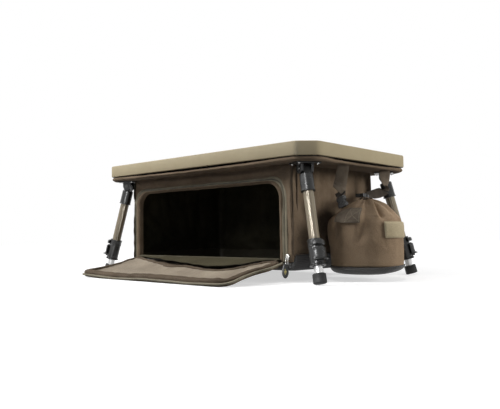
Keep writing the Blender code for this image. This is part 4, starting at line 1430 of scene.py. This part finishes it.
# the legs, with drops measured down each leg from its pivot
leg = {
    "collarBottom": 0.0430,
    "tubeRadius": 0.0095,
    "tubeTop": 0.0204,
    "tubeBottom": 0.1597,
    "tubeStops": (0.075, 0.110),
    "flutes": 14,
    "fluteDepth": 0.00050,
    "lockTop": 0.1401,
    # the lever and the hood over its pivot share an arc set out from the leg's middle
    "arcOut": 0.0040,
    "pivotOut": 0.0148,
    "arcSteps": 28,
    "leverArc": 58,
    "hoodArc": 60,
    # closed sections, as radius and height from the lever's axis
    "lever": ((0.0131, 0.0), (0.0143, 0.0002), (0.0150, -0.0012), (0.0151, -0.0080),
              (0.0149, -0.0150), (0.0156, -0.0180), (0.0186, -0.0198), (0.0196, -0.0207),
              (0.0194, -0.0217), (0.0180, -0.0218), (0.0150, -0.0206), (0.0136, -0.0190),
              (0.0131, -0.0150)),
    "hood": ((0.0080, 0.0050), (0.0144, 0.0050), (0.0152, 0.0058), (0.0152, 0.0100),
             (0.0144, 0.0122), (0.0120, 0.0132), (0.0080, 0.0136)),
    "crown": ((0.0098, -0.1415), (0.0127, -0.1415), (0.0130, -0.1400), (0.0129, -0.1318),
              (0.0133, -0.1312), (0.0133, -0.1300), (0.0124, -0.1292), (0.0098, -0.1292)),
    "flange": ((0.0100, -0.1735), (0.0138, -0.1735), (0.0143, -0.1740), (0.0142, -0.1750),
               (0.0134, -0.1756), (0.0100, -0.1756)),
    "flareFrom": 0.0151,
    "plateThickness": 0.0030,
    "screw": {"Radius": 0.0019, "Height": 0.0014, "Recess": 0.0007},
    "screwInset": (0.0150, 0.0185),
}
legCopies = (   # piece, CAD node, finish, body, bevel, its segments, and slot
    ("clevis_", "bracket_", "black", "table", 0.0008, 3, "black_plastic"),
    ("pin_", "pivot_pin_", "darkSteel", "table", 0.0004, 2, "steel"),
    ("collar_", "leg_collar_", "black", "leg_", 0.0005, 2, "black_plastic"),
    ("lock_", "leg_lock_", "black", "leg_", 0.0005, 2, "black_plastic"),
)
footCopies = (
    ("shoe_", "foot_", "rubber", "foot_", 0.0008, 3, "rubber_foot"),
    ("stem_", "inner_tube_", "bare", "foot_", 0.0, 1, "bare_tube"),
)
legRings = (    # piece, drop, radius, section, count, step between, finish, body and slot
    ("collar_lip_", 0.0418, 0.0120, 0.0011, 1, 0.002, "black", "leg_", "black_plastic"),
    ("lock_rims_", 0.1415, 0.0123, 0.0010, 2, 0.0310, "black", "leg_", "black_plastic"),
    ("shoe_ribs_", 0.1904, 0.0113, 0.0006, 4, 0.0018, "rubber", "foot_", "rubber_foot"),
)


def legMatrix(name):
    # the leg's own frame: out from the table, across, and up along the leg
    up = -Vector(joints["foot_extend_" + name]["axis"])
    across = Vector(joints["leg_fold_" + name]["axis"])
    out = across.cross(up).normalized()
    matrix = Matrix((out, across, up)).transposed().to_4x4()
    matrix.translation = joints["leg_fold_" + name]["pos_m"]
    return matrix


def ringTree():
    # rings of a rounded section, one below the other
    group, start, end = newTree("rings_on_a_tube", (
        ("Radius", "Float", 0.012), ("Section", "Float", 0.001), ("Count", "Int", 4),
        ("Step", "Float", 0.002), ("Steps Round", "Int", 40), ("Finish", "Material", None)))
    pick = start.outputs
    down = node(group, "ShaderNodeMath", {0: pick["Step"], 1: -1.0}, operation="MULTIPLY")
    fall = node(group, "ShaderNodeCombineXYZ", {2: down.outputs[0]})
    line = node(group, "GeometryNodeMeshLine", {"Count": pick["Count"],
                                                "Offset": fall.outputs[0]})
    hoop = node(group, "GeometryNodeCurvePrimitiveCircle", {"Resolution": pick["Steps Round"],
                                                            "Radius": pick["Radius"]})
    grain = node(group, "GeometryNodeCurvePrimitiveCircle", {"Resolution": 8,
                                                             "Radius": pick["Section"]})
    ring = node(group, "GeometryNodeCurveToMesh", {"Curve": hoop.outputs["Curve"],
                                                   "Profile Curve": grain.outputs["Curve"]})
    copies = node(group, "GeometryNodeInstanceOnPoints", {"Points": line.outputs["Mesh"],
                                                          "Instance": ring.outputs["Mesh"]})
    return endTree(group, end, copies.outputs[0], pick["Finish"])


def screwTree():
    # a domed screw head with a cross recess at each vertex
    group, start, end = newTree("screw_heads", (
        ("Radius", "Float", 0.0026), ("Height", "Float", 0.0014), ("Recess", "Float", 0.0008),
        ("Finish", "Material", None)))
    pick = start.outputs
    dome = node(group, "GeometryNodeMeshUVSphere", {"Segments": 20, "Rings": 10,
                                                    "Radius": pick["Radius"]})
    ratio = node(group, "ShaderNodeMath", {0: pick["Height"], 1: pick["Radius"]},
                 operation="DIVIDE")
    squash = node(group, "ShaderNodeCombineXYZ", {0: 1.0, 1: 1.0, 2: ratio.outputs[0]})
    flat = node(group, "GeometryNodeTransform", {"Geometry": dome.outputs["Mesh"],
                                                 "Scale": squash.outputs[0]})
    thin = pick["Recess"]
    span = node(group, "ShaderNodeMath", {0: pick["Radius"], 1: 1.2},
                operation="MULTIPLY").outputs[0]
    sink = node(group, "ShaderNodeMath", {0: pick["Height"], 1: -1.15}, operation="MULTIPLY")
    drop = node(group, "ShaderNodeCombineXYZ", {2: sink.outputs[0]})
    bars = []
    for wide, long in ((thin, span), (span, thin)):
        size = node(group, "ShaderNodeCombineXYZ", {0: wide, 1: long, 2: pick["Height"]})
        cube = node(group, "GeometryNodeMeshCube", {"Size": size.outputs[0]})
        bars.append(node(group, "GeometryNodeTransform", {
            "Geometry": cube.outputs["Mesh"], "Translation": drop.outputs[0]}))
    cut = node(group, "GeometryNodeMeshBoolean", {"Mesh 1": flat.outputs[0]},
               operation="DIFFERENCE")
    for bar in bars:
        group.links.new(bar.outputs[0], cut.inputs["Mesh 2"])
    copies = node(group, "GeometryNodeInstanceOnPoints", {"Points": pick["Geometry"],
                                                          "Instance": cut.outputs["Mesh"]})
    return endTree(group, end, copies.outputs[0], pick["Finish"], smooth=False)


ringsOnTube = ringTree()
screwHeads = screwTree()


def grown(name, tree, values, places=((0, 0, 0),)):
    # the plain mesh that a node tree makes on the given points
    mesh = bpy.data.meshes.new(name)
    mesh.from_pydata([tuple(p) for p in places], [], [])
    obj = bpy.data.objects.new(name, mesh)
    scene.collection.objects.link(obj)
    made = modifier(obj, "NODES", node_group=tree)
    for label, value in values.items():
        made[socketName(tree, label)] = value
    return applied(obj)


def ringsOn(name, matrix, drop, radius, section, count, step, material, body, slot):
    obj = grown(name, ringsOnTube, {"Radius": radius, "Section": section, "Count": count,
                              "Step": step, "Finish": material})
    obj.data.transform(matrix @ Matrix.Translation((0, 0, -drop)))
    return dress(obj, material, body, slot=slot, angle=0)


def makeTube(name, matrix):
    verts = []
    around = leg["flutes"] * 8
    stops = (leg["tubeTop"], leg["collarBottom"] + 0.001, *leg["tubeStops"],
             leg["lockTop"] - 0.001, leg["tubeBottom"])
    for d in stops:
        for k in range(around):
            angle = 2 * math.pi * k / around
            flute = 0.5 - 0.5 * math.cos(angle * leg["flutes"])
            r = leg["tubeRadius"] - leg["fluteDepth"] * flute
            verts.append(matrix @ Vector((r * math.cos(angle), r * math.sin(angle), -d)))
    obj = fixNormals(objectFrom("tube_" + name, verts, tubeFaces(len(stops), around)))
    return dress(obj, finish["tan"], "leg_" + name, ("leg_tube_" + name,), "tan_tube", 50)


def turned(name, matrix, section, arc=None, steps=48, fade=None):
    # a closed section of radius and height carried round the leg, or over an arc of it
    verts, faces = [], []
    size = len(section)
    count = steps if arc is None else steps + 1
    for i in range(count):
        share = i / steps * 2 - 1
        angle = math.pi * share if arc is None else math.radians(arc) * share
        for r, z in section:
            r = fade(r, share) if fade else r
            verts.append(matrix @ Vector((r * math.cos(angle), r * math.sin(angle), z)))
    for i in range(steps):
        a, b = i * size, (i + 1) % count * size
        for k in range(size):
            n = (k + 1) % size
            faces.append((a + k, b + k, b + n, a + n))
    if arc is not None:
        faces.append(tuple(range(size))[::-1])
        faces.append(tuple(range(steps * size, (steps + 1) * size)))
    return fixNormals(objectFrom(name, verts, faces))


def leverFlare(r, share):
    # the lip at the lever's foot dies away towards its two edges
    lip = max(r - leg["flareFrom"], 0.0)
    return r - lip * ramp(0.55, 1.0, abs(share))


def copyParts(table, name):
    for piece, source, look, body, bevel, segments, slot in table:
        body += name if body.endswith("_") else ""
        refined(piece + name, source + name, finish[look], body, bevel, segments, slot)


def makeLock(name, matrix):
    # the lever, the hood over its pivot, and the lock's two collars
    hinge = matrix.copy()
    hinge.translation = (Vector(joints["lever_" + name]["pos_m"])
                         + (matrix.col[0].to_3d() * (leg["arcOut"] - leg["pivotOut"])))
    lever = turned("lever_" + name, hinge, leg["lever"], leg["leverArc"], leg["arcSteps"],
                   leverFlare)
    dress(lever, finish["black"], "lever_" + name, ("lock_lever_" + name,), "black_plastic")
    hood = turned("lock_hood_" + name, hinge, leg["hood"], leg["hoodArc"], leg["arcSteps"])
    dress(hood, finish["black"], "leg_" + name, slot="black_plastic")
    for part in ("crown", "flange"):
        ring = turned(f"lock_{part}_{name}", matrix, leg[part])
        dress(ring, finish["black"], "leg_" + name, slot="black_plastic")


def makeScrews(name, matrix):
    # four screws on the underside of the bracket's plate
    centre = Vector(joints["leg_fold_" + name]["pos_m"])
    heading = Vector((matrix.col[0].x, matrix.col[0].y, 0)).normalized()
    side = Vector((-heading.y, heading.x, 0))
    a, b = leg["screwInset"]
    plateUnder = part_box("bracket_" + name)[1].z - leg["plateThickness"]
    spots = [centre + heading * (a * i) + side * (b * j) for i in (-1, 1) for j in (-1, 1)]
    heads = grown("bracket_screws_" + name, screwHeads,
                  {**leg["screw"], "Finish": finish["steel"]},
                  [(p.x, p.y, plateUnder) for p in spots])
    dress(heads, finish["steel"], "table", slot="steel", angle=30)


def makeLegs():
    for name in legNames:
        matrix = legMatrix(name)
        copyParts(legCopies, name)
        makeLock(name, matrix)
        copyParts(footCopies, name)
        makeTube(name, matrix)
        for piece, *sizes, look, body, slot in legRings:
            ringsOn(piece + name, matrix, *sizes, finish[look], body + name, slot)
        makeScrews(name, matrix)


makeLegs()
print("legs made")


# the round pouch, hung on two straps
cupLow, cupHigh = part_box("pouch_cup")
pouch = {
    "middle": ((cupLow.x + cupHigh.x) / 2, (cupLow.y + cupHigh.y) / 2),
    "radius": 0.0668,
    "shoulder": 0.0850,
    # share of the radius and height, from the drawn mouth out to the shoulder
    "crown": ((0.0, 0.1370), (0.125, 0.1352), (0.36, 0.1298), (0.58, 0.1236), (0.78, 0.1120),
              (0.90, 0.1045), (0.965, 0.0985), (0.988, 0.0925), (1.0, 0.0850)),
    "taper": 0.020,
    "lean": (-0.0022, -0.0020),
    "droop": 0.0030,
    "pleats": 15,
    "pleatDepth": (0.0006, 0.0022),    # at the shoulder and at the mouth
    # depth, scale, and how far each is drawn out up the cloth
    "crumples": ((0.0010, 30, 1.0), (0.0007, 70, 0.6), (0.0004, 150, 1.0)),
    "mouth": 0.10,                     # share of the radius
    "foot": 0.0100,                    # height of the cloth's edge inside the cup
    "footTuck": 0.0050,
    "columns": 240,
    "rows": 76,
    "cordHeight": 0.1364,
    "cordRing": 0.0100,
    "cordRadius": 0.0013,
    "cupThickness": 0.0009,
    "stitchSpacing": 0.0036,
    "stitch": (0.0026, 0.0005, 0.0006),
    "cup": ((0.0003, 0.0120), (0.0013, 0.0118), (0.0017, 0.0104), (0.0012, 0.0084),
            (-0.0004, 0.0058), (-0.0028, 0.0032), (-0.0066, 0.0012), (-0.0130, -0.0004),
            (-0.0260, -0.0013), (-0.0440, -0.0016)),
    # each long fold: its azimuth at the top and at its foot, depth, width left and right
    # of its line, ridge on its left, and the heights of its top and foot
    "folds": ((-32, -31, 0.0160, 3.0, 4, 0.0050, 0.1345, 0.1000),
              (-50, -66, 0.0044, 6, 6, 0.0018, 0.1340, 0.0600),
              (-74, -80, 0.0032, 6, 7, 0.0018, 0.1340, 0.0980),
              (-90, -96, 0.0030, 5, 6, 0.0016, 0.1330, 0.1000),
              (-8, 4, 0.0040, 6, 9, 0.0020, 0.1300, 0.0950),
              (24, 34, 0.0036, 7, 8, 0.0020, 0.1310, 0.0620),
              (-112, -120, 0.0034, 8, 8, 0.0018, 0.1290, 0.0500),
              (-138, -130, 0.0032, 7, 9, 0.0020, 0.1300, 0.0560),
              (62, 54, 0.0038, 8, 9, 0.0022, 0.1290, 0.0520),
              (98, 104, 0.0034, 7, 9, 0.0018, 0.1300, 0.0600),
              (140, 132, 0.0036, 9, 8, 0.0020, 0.1290, 0.0500),
              (176, 170, 0.0034, 8, 8, 0.0018, 0.1300, 0.0560),
              (-156, -160, 0.0034, 8, 8, 0.0018, 0.1290, 0.0620)),
}
pouchBase = cupLow.z


def between(stops, value):
    # value read off a line of stops
    for (a, x), (b, y) in zip(stops, stops[1:]):
        if value <= b:
            return x + (y - x) * min(max((value - a) / (b - a), 0.0), 1.0)
    return stops[-1][1]


def crownHeight(radius):
    return between(pouch["crown"], min(radius / pouch["radius"], 1.0))


def crownRadius(height):
    turned = sorted((h, share) for share, h in pouch["crown"])
    return pouch["radius"] * between(turned, height)


def bodyRadius(height):
    # the body draws in a little towards the cup
    fall = 1 - min(height / pouch["shoulder"], 1.0)
    return pouch["radius"] * (1 - pouch["taper"] * fall ** 1.5)


def pouchPoint(azimuth, radius, height):
    # the shoulder leans towards the bag and the front
    lean = hump((0.030, 0.088, 0.100, 0.128), height)
    return Vector((pouch["middle"][0] + radius * math.cos(azimuth) + lean * pouch["lean"][0],
                   pouch["middle"][1] + radius * math.sin(azimuth) + lean * pouch["lean"][1],
                   pouchBase + height))


def foldLift(azimuth, height):
    # what the long folds add to the cloth, outwards
    lift = 0.0
    for top, foot, depth, left, right, ridge, high, low in pouch["folds"]:
        share = min(max((high - height) / (high - low), 0.0), 1.0)
        line = top + (foot - top) * share + 1.2 * math.sin(height * 90 + top)
        off = (math.degrees(azimuth) - line + 180) % 360 - 180
        soft = 0.35 if depth > 0.01 else 1.0
        run = ramp(low - 0.012 * soft, low + 0.016 * soft, height)
        run *= 1 - ramp(high - 0.010, high + 0.004, height)
        if run:
            width = left if off < 0 else right
            lift -= depth * run * math.exp(-(off / width) ** 2)
            lift += ridge * run * math.exp(-((off + 2.3 * left) / (1.3 * left + 2)) ** 2)
    return lift


def pouchSkin(azimuth, v):
    # radius, height and lift of the cloth at share v, from its drawn mouth down to the cup
    if v < 0.5:
        s = v / 0.5
        mouth = pouch["mouth"]
        radius = pouch["radius"] * (mouth + (1 - mouth) * math.sin(s * math.pi / 2) ** 0.9)
        leaning = math.cos(azimuth - math.radians(-140)) * 0.5 + 0.5
        height = crownHeight(radius) - pouch["droop"] * leaning ** 3 * math.sin(math.pi * s) ** 2
    else:
        s = (v - 0.5) / 0.5
        height = pouch["shoulder"] - (pouch["shoulder"] - pouch["foot"]) * s
        radius = bodyRadius(height) + 0.0008 * math.sin(math.pi * s)
        radius -= pouch["footTuck"] * ramp(0.955, 1.0, s)
    east, north = math.cos(azimuth) * 0.07, math.sin(azimuth) * 0.07
    tight = 1 - ramp(0.30, 1.0, radius / pouch["radius"])
    wander = pouch["pleats"] * azimuth + 1.5 * drift(east, north, 0, 21, 31)
    pleat = math.sin(wander) * 0.5 + 0.5 * math.sin(wander * 0.533 + 1.0)
    high = ramp(pouch["shoulder"] - 0.030, pouch["shoulder"] + 0.030, height)
    shallow, deep = pouch["pleatDepth"]
    lift = pleat * (shallow * high + deep * tight * high) + foldLift(azimuth, height)
    crumple = sum(depth * drift(east, north, height * drawn, scale, 32 + k)
                  for k, (depth, scale, drawn) in enumerate(pouch["crumples"]))
    lift += ramp(0.012, 0.045, height) * crumple
    return radius, height, lift


def onPouch(azimuth, height, lift):
    # a place on the outside of the cloth, away from its small folds
    radius = bodyRadius(height) if height < pouch["shoulder"] else crownRadius(height)
    steep = ramp(0.35, 0.85, radius / pouch["radius"])
    return pouchPoint(azimuth, radius + lift * steep, height + lift * (1 - steep))


def makePouchBody():
    def place(u, v):
        azimuth = 2 * math.pi * u
        radius, height, lift = pouchSkin(azimuth, v)
        steep = ramp(0.35, 0.85, radius / pouch["radius"])
        return pouchPoint(azimuth, radius + lift * steep, height + lift * (1 - steep) * 0.9)

    columns, rows = pouch["columns"], pouch["rows"]
    obj = gridSheet("pouch_cloth", columns, rows, place, closed=True)
    modifier(obj, "SUBSURF", levels=1, render_levels=1)
    fixNormals(applied(obj), math.inf)
    dress(obj, finish["pouchCloth"], "pouch", ("pouch_body",), "brown_fabric", 80)

    # cord that draws the mouth shut, tucked into the gathers
    cord = []
    for azimuth in (2 * math.pi * i / 72 for i in range(72)):
        rise = drift(math.cos(azimuth), math.sin(azimuth), 0, 2, 35)
        cord.append(pouchPoint(
            azimuth, pouch["cordRing"] + 0.0012 * math.sin(pouch["pleats"] * azimuth),
            pouch["cordHeight"] + 0.0008 * rise))
    tie = sweep("pouch_draw_cord", cord, circle(pouch["cordRadius"], 10), (0, 0, 1), closed=True)
    dress(tie, finish["darkWebbing"], "pouch", slot="webbing", angle=80)


def makeCup():
    profile = pouch["cup"]

    def place(u, v):
        azimuth = 2 * math.pi * u
        k = min(int(v * (len(profile) - 1) + 0.5), len(profile) - 1)
        out, height = profile[k]
        east, north = math.cos(azimuth) * 0.07, math.sin(azimuth) * 0.07
        wave = 0.0006 * drift(east, north, 0, 30, 36) * (k < 6)
        edge = 0.0012 * drift(east, north, 1, 22, 37) * (k < 2)
        edge += 0.0045 * max(0.0, math.cos(azimuth - 0.55)) ** 3 * (k < 9) * (0.4 + 0.6 * (k > 1))
        return pouchPoint(azimuth, bodyRadius(0.010) + 0.0004 + out + wave, height + edge)

    cup = gridSheet("pouch_base_cup", 120, len(profile) - 1, place, closed=True)
    modifier(cup, "SUBSURF", levels=1, render_levels=1)
    applied(cup)
    fixNormals(cup, pouchBase + 0.005)
    modifier(cup, "SOLIDIFY", thickness=pouch["cupThickness"], offset=1)
    applied(cup)
    dress(cup, finish["coated"], "pouch", ("pouch_cup",), "coated_base", 60)
    seam = [pouchPoint(2 * math.pi * i / 160, bodyRadius(0.010) + 0.0031, 0.0104)
            for i in range(160)]
    copiesAlong("cup_stitches", [seam], finish["brownThread"], "pouch", pouch["stitchSpacing"],
                pouch["stitch"], closed=True)


patch = {
    "halfAngle": 28,
    "turn": -1,
    "low": 0.0640,
    "high": 0.0920,
    "lift": 0.0032,
    "thickness": 0.0010,
    "inset": 0.0026,
    "stitchSpacing": 0.0030,
    "stitch": (0.0022, 0.0005, 0.0005),
}


def makePatch():
    def place(u, v, lift=patch["lift"]):
        azimuth = math.radians(patch["turn"] + patch["halfAngle"] * (2 * u - 1))
        height = patch["low"] + (patch["high"] - patch["low"]) * v
        edge = min(u * 3, (1 - u) * 3, v * 1.5, (1 - v) * 1.5, 0.12) / 0.12
        lift = lift - 0.0012 * (1 - edge) + 0.0006 * drift(u * 0.08, v * 0.03, 0, 50, 38)
        return onPouch(azimuth, height, lift)

    obj = gridSheet("pouch_blank_patch", 60, 22, place)
    modifier(obj, "SOLIDIFY", thickness=patch["thickness"], offset=1)
    applied(obj)
    dress(obj, finish["patch"], "pouch", ("pouch_patch",), "patch", 60)
    span = math.radians(2 * patch["halfAngle"]) * pouch["radius"]
    a, b = patch["inset"] / span, patch["inset"] / (patch["high"] - patch["low"])
    line = [(a + (1 - 2 * a) * i / 40, b) for i in range(41)]
    line += [(1 - a, b + (1 - 2 * b) * i / 16) for i in range(1, 17)]
    line += [(1 - a - (1 - 2 * a) * i / 40, 1 - b) for i in range(1, 41)]
    line += [(a, 1 - b - (1 - 2 * b) * i / 16) for i in range(1, 16)]
    seam = [place(u, v, patch["lift"] + 0.0003) for u, v in line]
    copiesAlong("patch_stitches", [seam], finish["tanThread"], "pouch", patch["stitchSpacing"],
                patch["stitch"], closed=True)


# the pouch's webbing tabs
hanger = {
    "width": 0.0220,
    "thickness": 0.0015,
    "tabLow": 0.0910,
    "tabHeight": 0.0260,
    "tabFrom": -65,
    "tabTo": -104,
    "tabLift": 0.0040,
    "boxEnd": 0.57,
    "tabPinch": 0.20,
    "tabThickness": 0.0013,
    "backTab": 0.0340,
    "backSpot": (-0.0150, 0.0120),
    "stitchSpacing": 0.0030,
    "stitch": (0.0026, 0.0013, 0.0011),
}


def mapInMetres(obj, along, across):
    # a sheet's own map from shares to metres, as webbing's finish wants it
    for point in obj.data.uv_layers["run"].data:
        point.uv = (point.uv.x * along, point.uv.y * across)


def tabPoint(u, v, lift):
    free = max(0.0, (u - 0.6) / 0.4)
    v = 0.5 + (v - 0.42) * (1 - hanger["tabPinch"] * ramp(0.62, 1.0, u)) - 0.08
    azimuth = math.radians(hanger["tabFrom"] + (hanger["tabTo"] - hanger["tabFrom"]) * u)
    return onPouch(azimuth, hanger["tabLow"] + hanger["tabHeight"] * v,
                   0.0050 + hanger["tabLift"] * free ** 2 + lift)


def makeFrontTab():
    # the webbing runs out from the box seam, round the buckle's bar and back underneath
    stops = [(i / 22, 0.0) for i in range(23)]
    stops += [(1.012, -0.0006), (1.018, -0.0018), (1.010, -0.0030)]
    stops += [(1 - i / 10, -0.0036 + 0.0022 * ramp(0.2, 0.5, i / 10)) for i in range(1, 6)]

    def place(u, v):
        a, lift = stops[min(round(u * (len(stops) - 1)), len(stops) - 1)]
        seam = math.exp(-((a - hanger["boxEnd"]) / 0.03) ** 2) * 0.0006
        bow = 0.0012 * math.sin(math.pi * v) * ramp(0.62, 0.9, a)
        return tabPoint(a, v, lift - seam + bow)

    obj = gridSheet("front_tab_webbing", len(stops) - 1, 12, place)
    mapInMetres(obj, 0.080, 0.026)
    modifier(obj, "SUBSURF", levels=1, render_levels=1)
    modifier(obj, "SOLIDIFY", thickness=hanger["tabThickness"], offset=1)
    applied(obj)
    dress(obj, finish["webbing"], "pouch", ("pouch_tab_front",), "webbing", 60)
    a, b, c, d = 0.05, hanger["boxEnd"], 0.10, 0.90
    box = [(a, c), (b, c), (b, d), (a, d), (a, c)]
    lines = []
    for start, end in list(zip(box, box[1:])) + [((a, c), (b, d)), ((a, d), (b, c))]:
        lines.append([tabPoint(start[0] + (end[0] - start[0]) * i / 14,
                               start[1] + (end[1] - start[1]) * i / 14, 0.0003)
                      for i in range(15)])
    copiesAlong("front_tab_stitches", lines, finish["thread"], "pouch",
                hanger["stitchSpacing"], hanger["stitch"])


def webbingStrap(name, stops, across, source, material, widths=None, slants=None):
    # a flat strap along a smooth path; across says which way its width runs at each stop
    parts = 10
    path = catmull(stops, parts)
    sides = []
    for i in range(len(stops) - 1):
        for k in range(parts):
            sides.append(Vector(across[i]).lerp(Vector(across[i + 1]), k / parts).normalized())
    sides.append(Vector(across[-1]).normalized())
    run = lengths(path)
    widths = widths or [hanger["width"]] * len(stops)
    slants = slants or [0] * len(stops)
    thick = hanger["thickness"]
    verts, uvs, faces = [], [], []
    # its section, with both edges thinned
    loop = [(s - 0.5, 0.5 - 0.35 * (abs(2 * s - 1) ** 6)) for s in (k / 6 for k in range(7))]
    loop += [(a, -b) for a, b in reversed(loop)]
    for i, point in enumerate(path):
        stop = min(i // parts, len(stops) - 2)
        wide, slant = (line[stop] + (line[stop + 1] - line[stop]) * (i / parts - stop)
                       for line in (widths, slants))
        ahead = (path[min(i + 1, len(path) - 1)] - path[max(i - 1, 0)]).normalized()
        side = (sides[i] - ahead * sides[i].dot(ahead)).normalized()
        lift = side.cross(ahead).normalized()
        for a, b in loop:
            verts.append(point + side * a * wide + lift * b * thick + ahead * a * slant)
            uvs.append((run[i], (a + 0.5) * wide + (0.03 if b < 0 else 0)))
    size = len(loop)
    for i in range(len(path) - 1):
        for k in range(size):
            a, b = i * size + k, i * size + (k + 1) % size
            faces.append((a, b, b + size, a + size))
    faces.append(tuple(range(size))[::-1])
    faces.append(tuple(range((len(path) - 1) * size, len(path) * size)))
    obj = fixNormals(objectFrom(name, verts, faces, uvs))
    return dress(obj, material, "pouch", (source,) if source else (), "webbing", 50)


strap = {
    "frontTop": (0.2850, -0.0522, -0.0343),
    "facing": (0.735, 0.678, 0),
    "toCamera": (0.678, -0.735, 0),
    # along facing, up, and to the camera from its top, down to a slanting fold
    "frontStops": ((0.0, 0.0, 0.0), (-0.0022, -0.0120, 0.0), (-0.0050, -0.0250, 0.0010),
                   (-0.0078, -0.0370, 0.0030), (-0.0092, -0.0440, 0.0050),
                   (-0.0100, -0.0505, 0.0065)),
    "frontWidths": (0.0215, 0.0215, 0.0225, 0.0240, 0.0240, 0.0235),
    "frontSlants": (0, 0, 0, 0.006, 0.012, 0.0185),
    "returnAcross": ((0.75, 0.66, 0), (0.9, 0.4, 0.05), (1, 0, 0)),
    "returnWidths": (0.0170, 0.0190, 0.0205),
    "backStops": ((0.2850, 0.0940, -0.0343), (0.2850, 0.0952, -0.0480),
                  (0.2850, 0.0968, -0.0595), (0.2846, 0.0962, -0.0690),
                  (0.2850, 0.0900, -0.0750), (0.2860, 0.0760, -0.0786),
                  (0.2868, 0.0580, -0.0828), (0.2874, 0.0360, -0.0868)),
    "backAcross": ((0.73, 0.68, 0), (0.52, 0.85, 0), (0.10, 1, 0), (-0.45, 0.89, 0.05),
                   (-0.70, 0.42, 0.58), (-0.66, 0.22, 0.70), (-0.66, 0.08, 0.74),
                   (-0.74, 0, 0.67), (-0.96, 0, 0.3)),
    "ribbedWidths": (0.0220, 0.0225, 0.0225, 0.0205, 0.0180),
}


def makeFrontStrap():
    top, facing, toCamera = (Vector(strap[key]) for key in ("frontTop", "facing", "toCamera"))
    low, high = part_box("strap_buckle_front")
    bar = Vector(((low.x + high.x) / 2, (low.y + high.y) / 2, high.z - 0.0004))
    stops = [top + facing * a + Vector((0, 0, z)) + toCamera * ahead
             for a, z, ahead in strap["frontStops"]]
    webbingStrap("front_strap_webbing", stops, [strap["facing"]] * 6, "strap_front",
                 finish["webbing"], strap["frontWidths"], strap["frontSlants"])
    # it runs back to the buckle behind itself; this ply is the same webbing as the strap, given the
    # dark webbing as painted shade for the shade behind the strap
    stops = [stops[-1] + Vector((0, 0, 0.0010)) - toCamera * 0.0016,
             stops[-1].lerp(bar, 0.5) - toCamera * 0.0020, bar]
    webbingStrap("front_strap_return", stops, strap["returnAcross"], None,
                 finish["darkWebbing"], strap["returnWidths"])


def makeBackStrap():
    low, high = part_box("strap_buckle_back")
    end = Vector(((low.x + high.x) / 2, high.y + 0.0002, (low.z + high.z) / 2))
    stops = [*(Vector(p) for p in strap["backStops"]), end]
    across = strap["backAcross"]
    webbingStrap("back_strap_webbing", stops[:5], across[:5], "strap_back", finish["webbing"])
    webbingStrap("back_strap_ribbed", stops[4:], across[4:], None, finish["darkWebbing"],
                 strap["ribbedWidths"])


def makeBackTab():
    # the tab under the back buckle, on the crown
    spot = Vector(hanger["backSpot"])
    ahead = spot.normalized()

    def place(u, v):
        forward, side = (u - 0.25) * hanger["backTab"], (v - 0.5) * hanger["width"]
        px = spot.x + ahead.x * forward - ahead.y * side
        py = spot.y + ahead.y * forward + ahead.x * side
        height = crownHeight(math.hypot(px, py)) + 0.0016 + 0.0008 * drift(px, py, 0, 80, 39)
        return Vector((pouch["middle"][0] + px, pouch["middle"][1] + py, pouchBase + height))

    obj = gridSheet("back_tab_webbing", 24, 12, place)
    mapInMetres(obj, 0.034, 0.022)
    modifier(obj, "SOLIDIFY", thickness=hanger["tabThickness"], offset=0)
    applied(obj)
    dress(obj, finish["darkWebbing"], "pouch", ("pouch_tab_back",), "webbing", 60)


makePouchBody()
makeCup()
makePatch()
makeFrontTab()
makeFrontStrap()
makeBackStrap()
makeBackTab()
for side in ("front", "back"):
    refined("buckle_" + side, "strap_buckle_" + side, finish["black"], "pouch", 0.0005, 2,
            "black_plastic", 36)
print("pouch made")
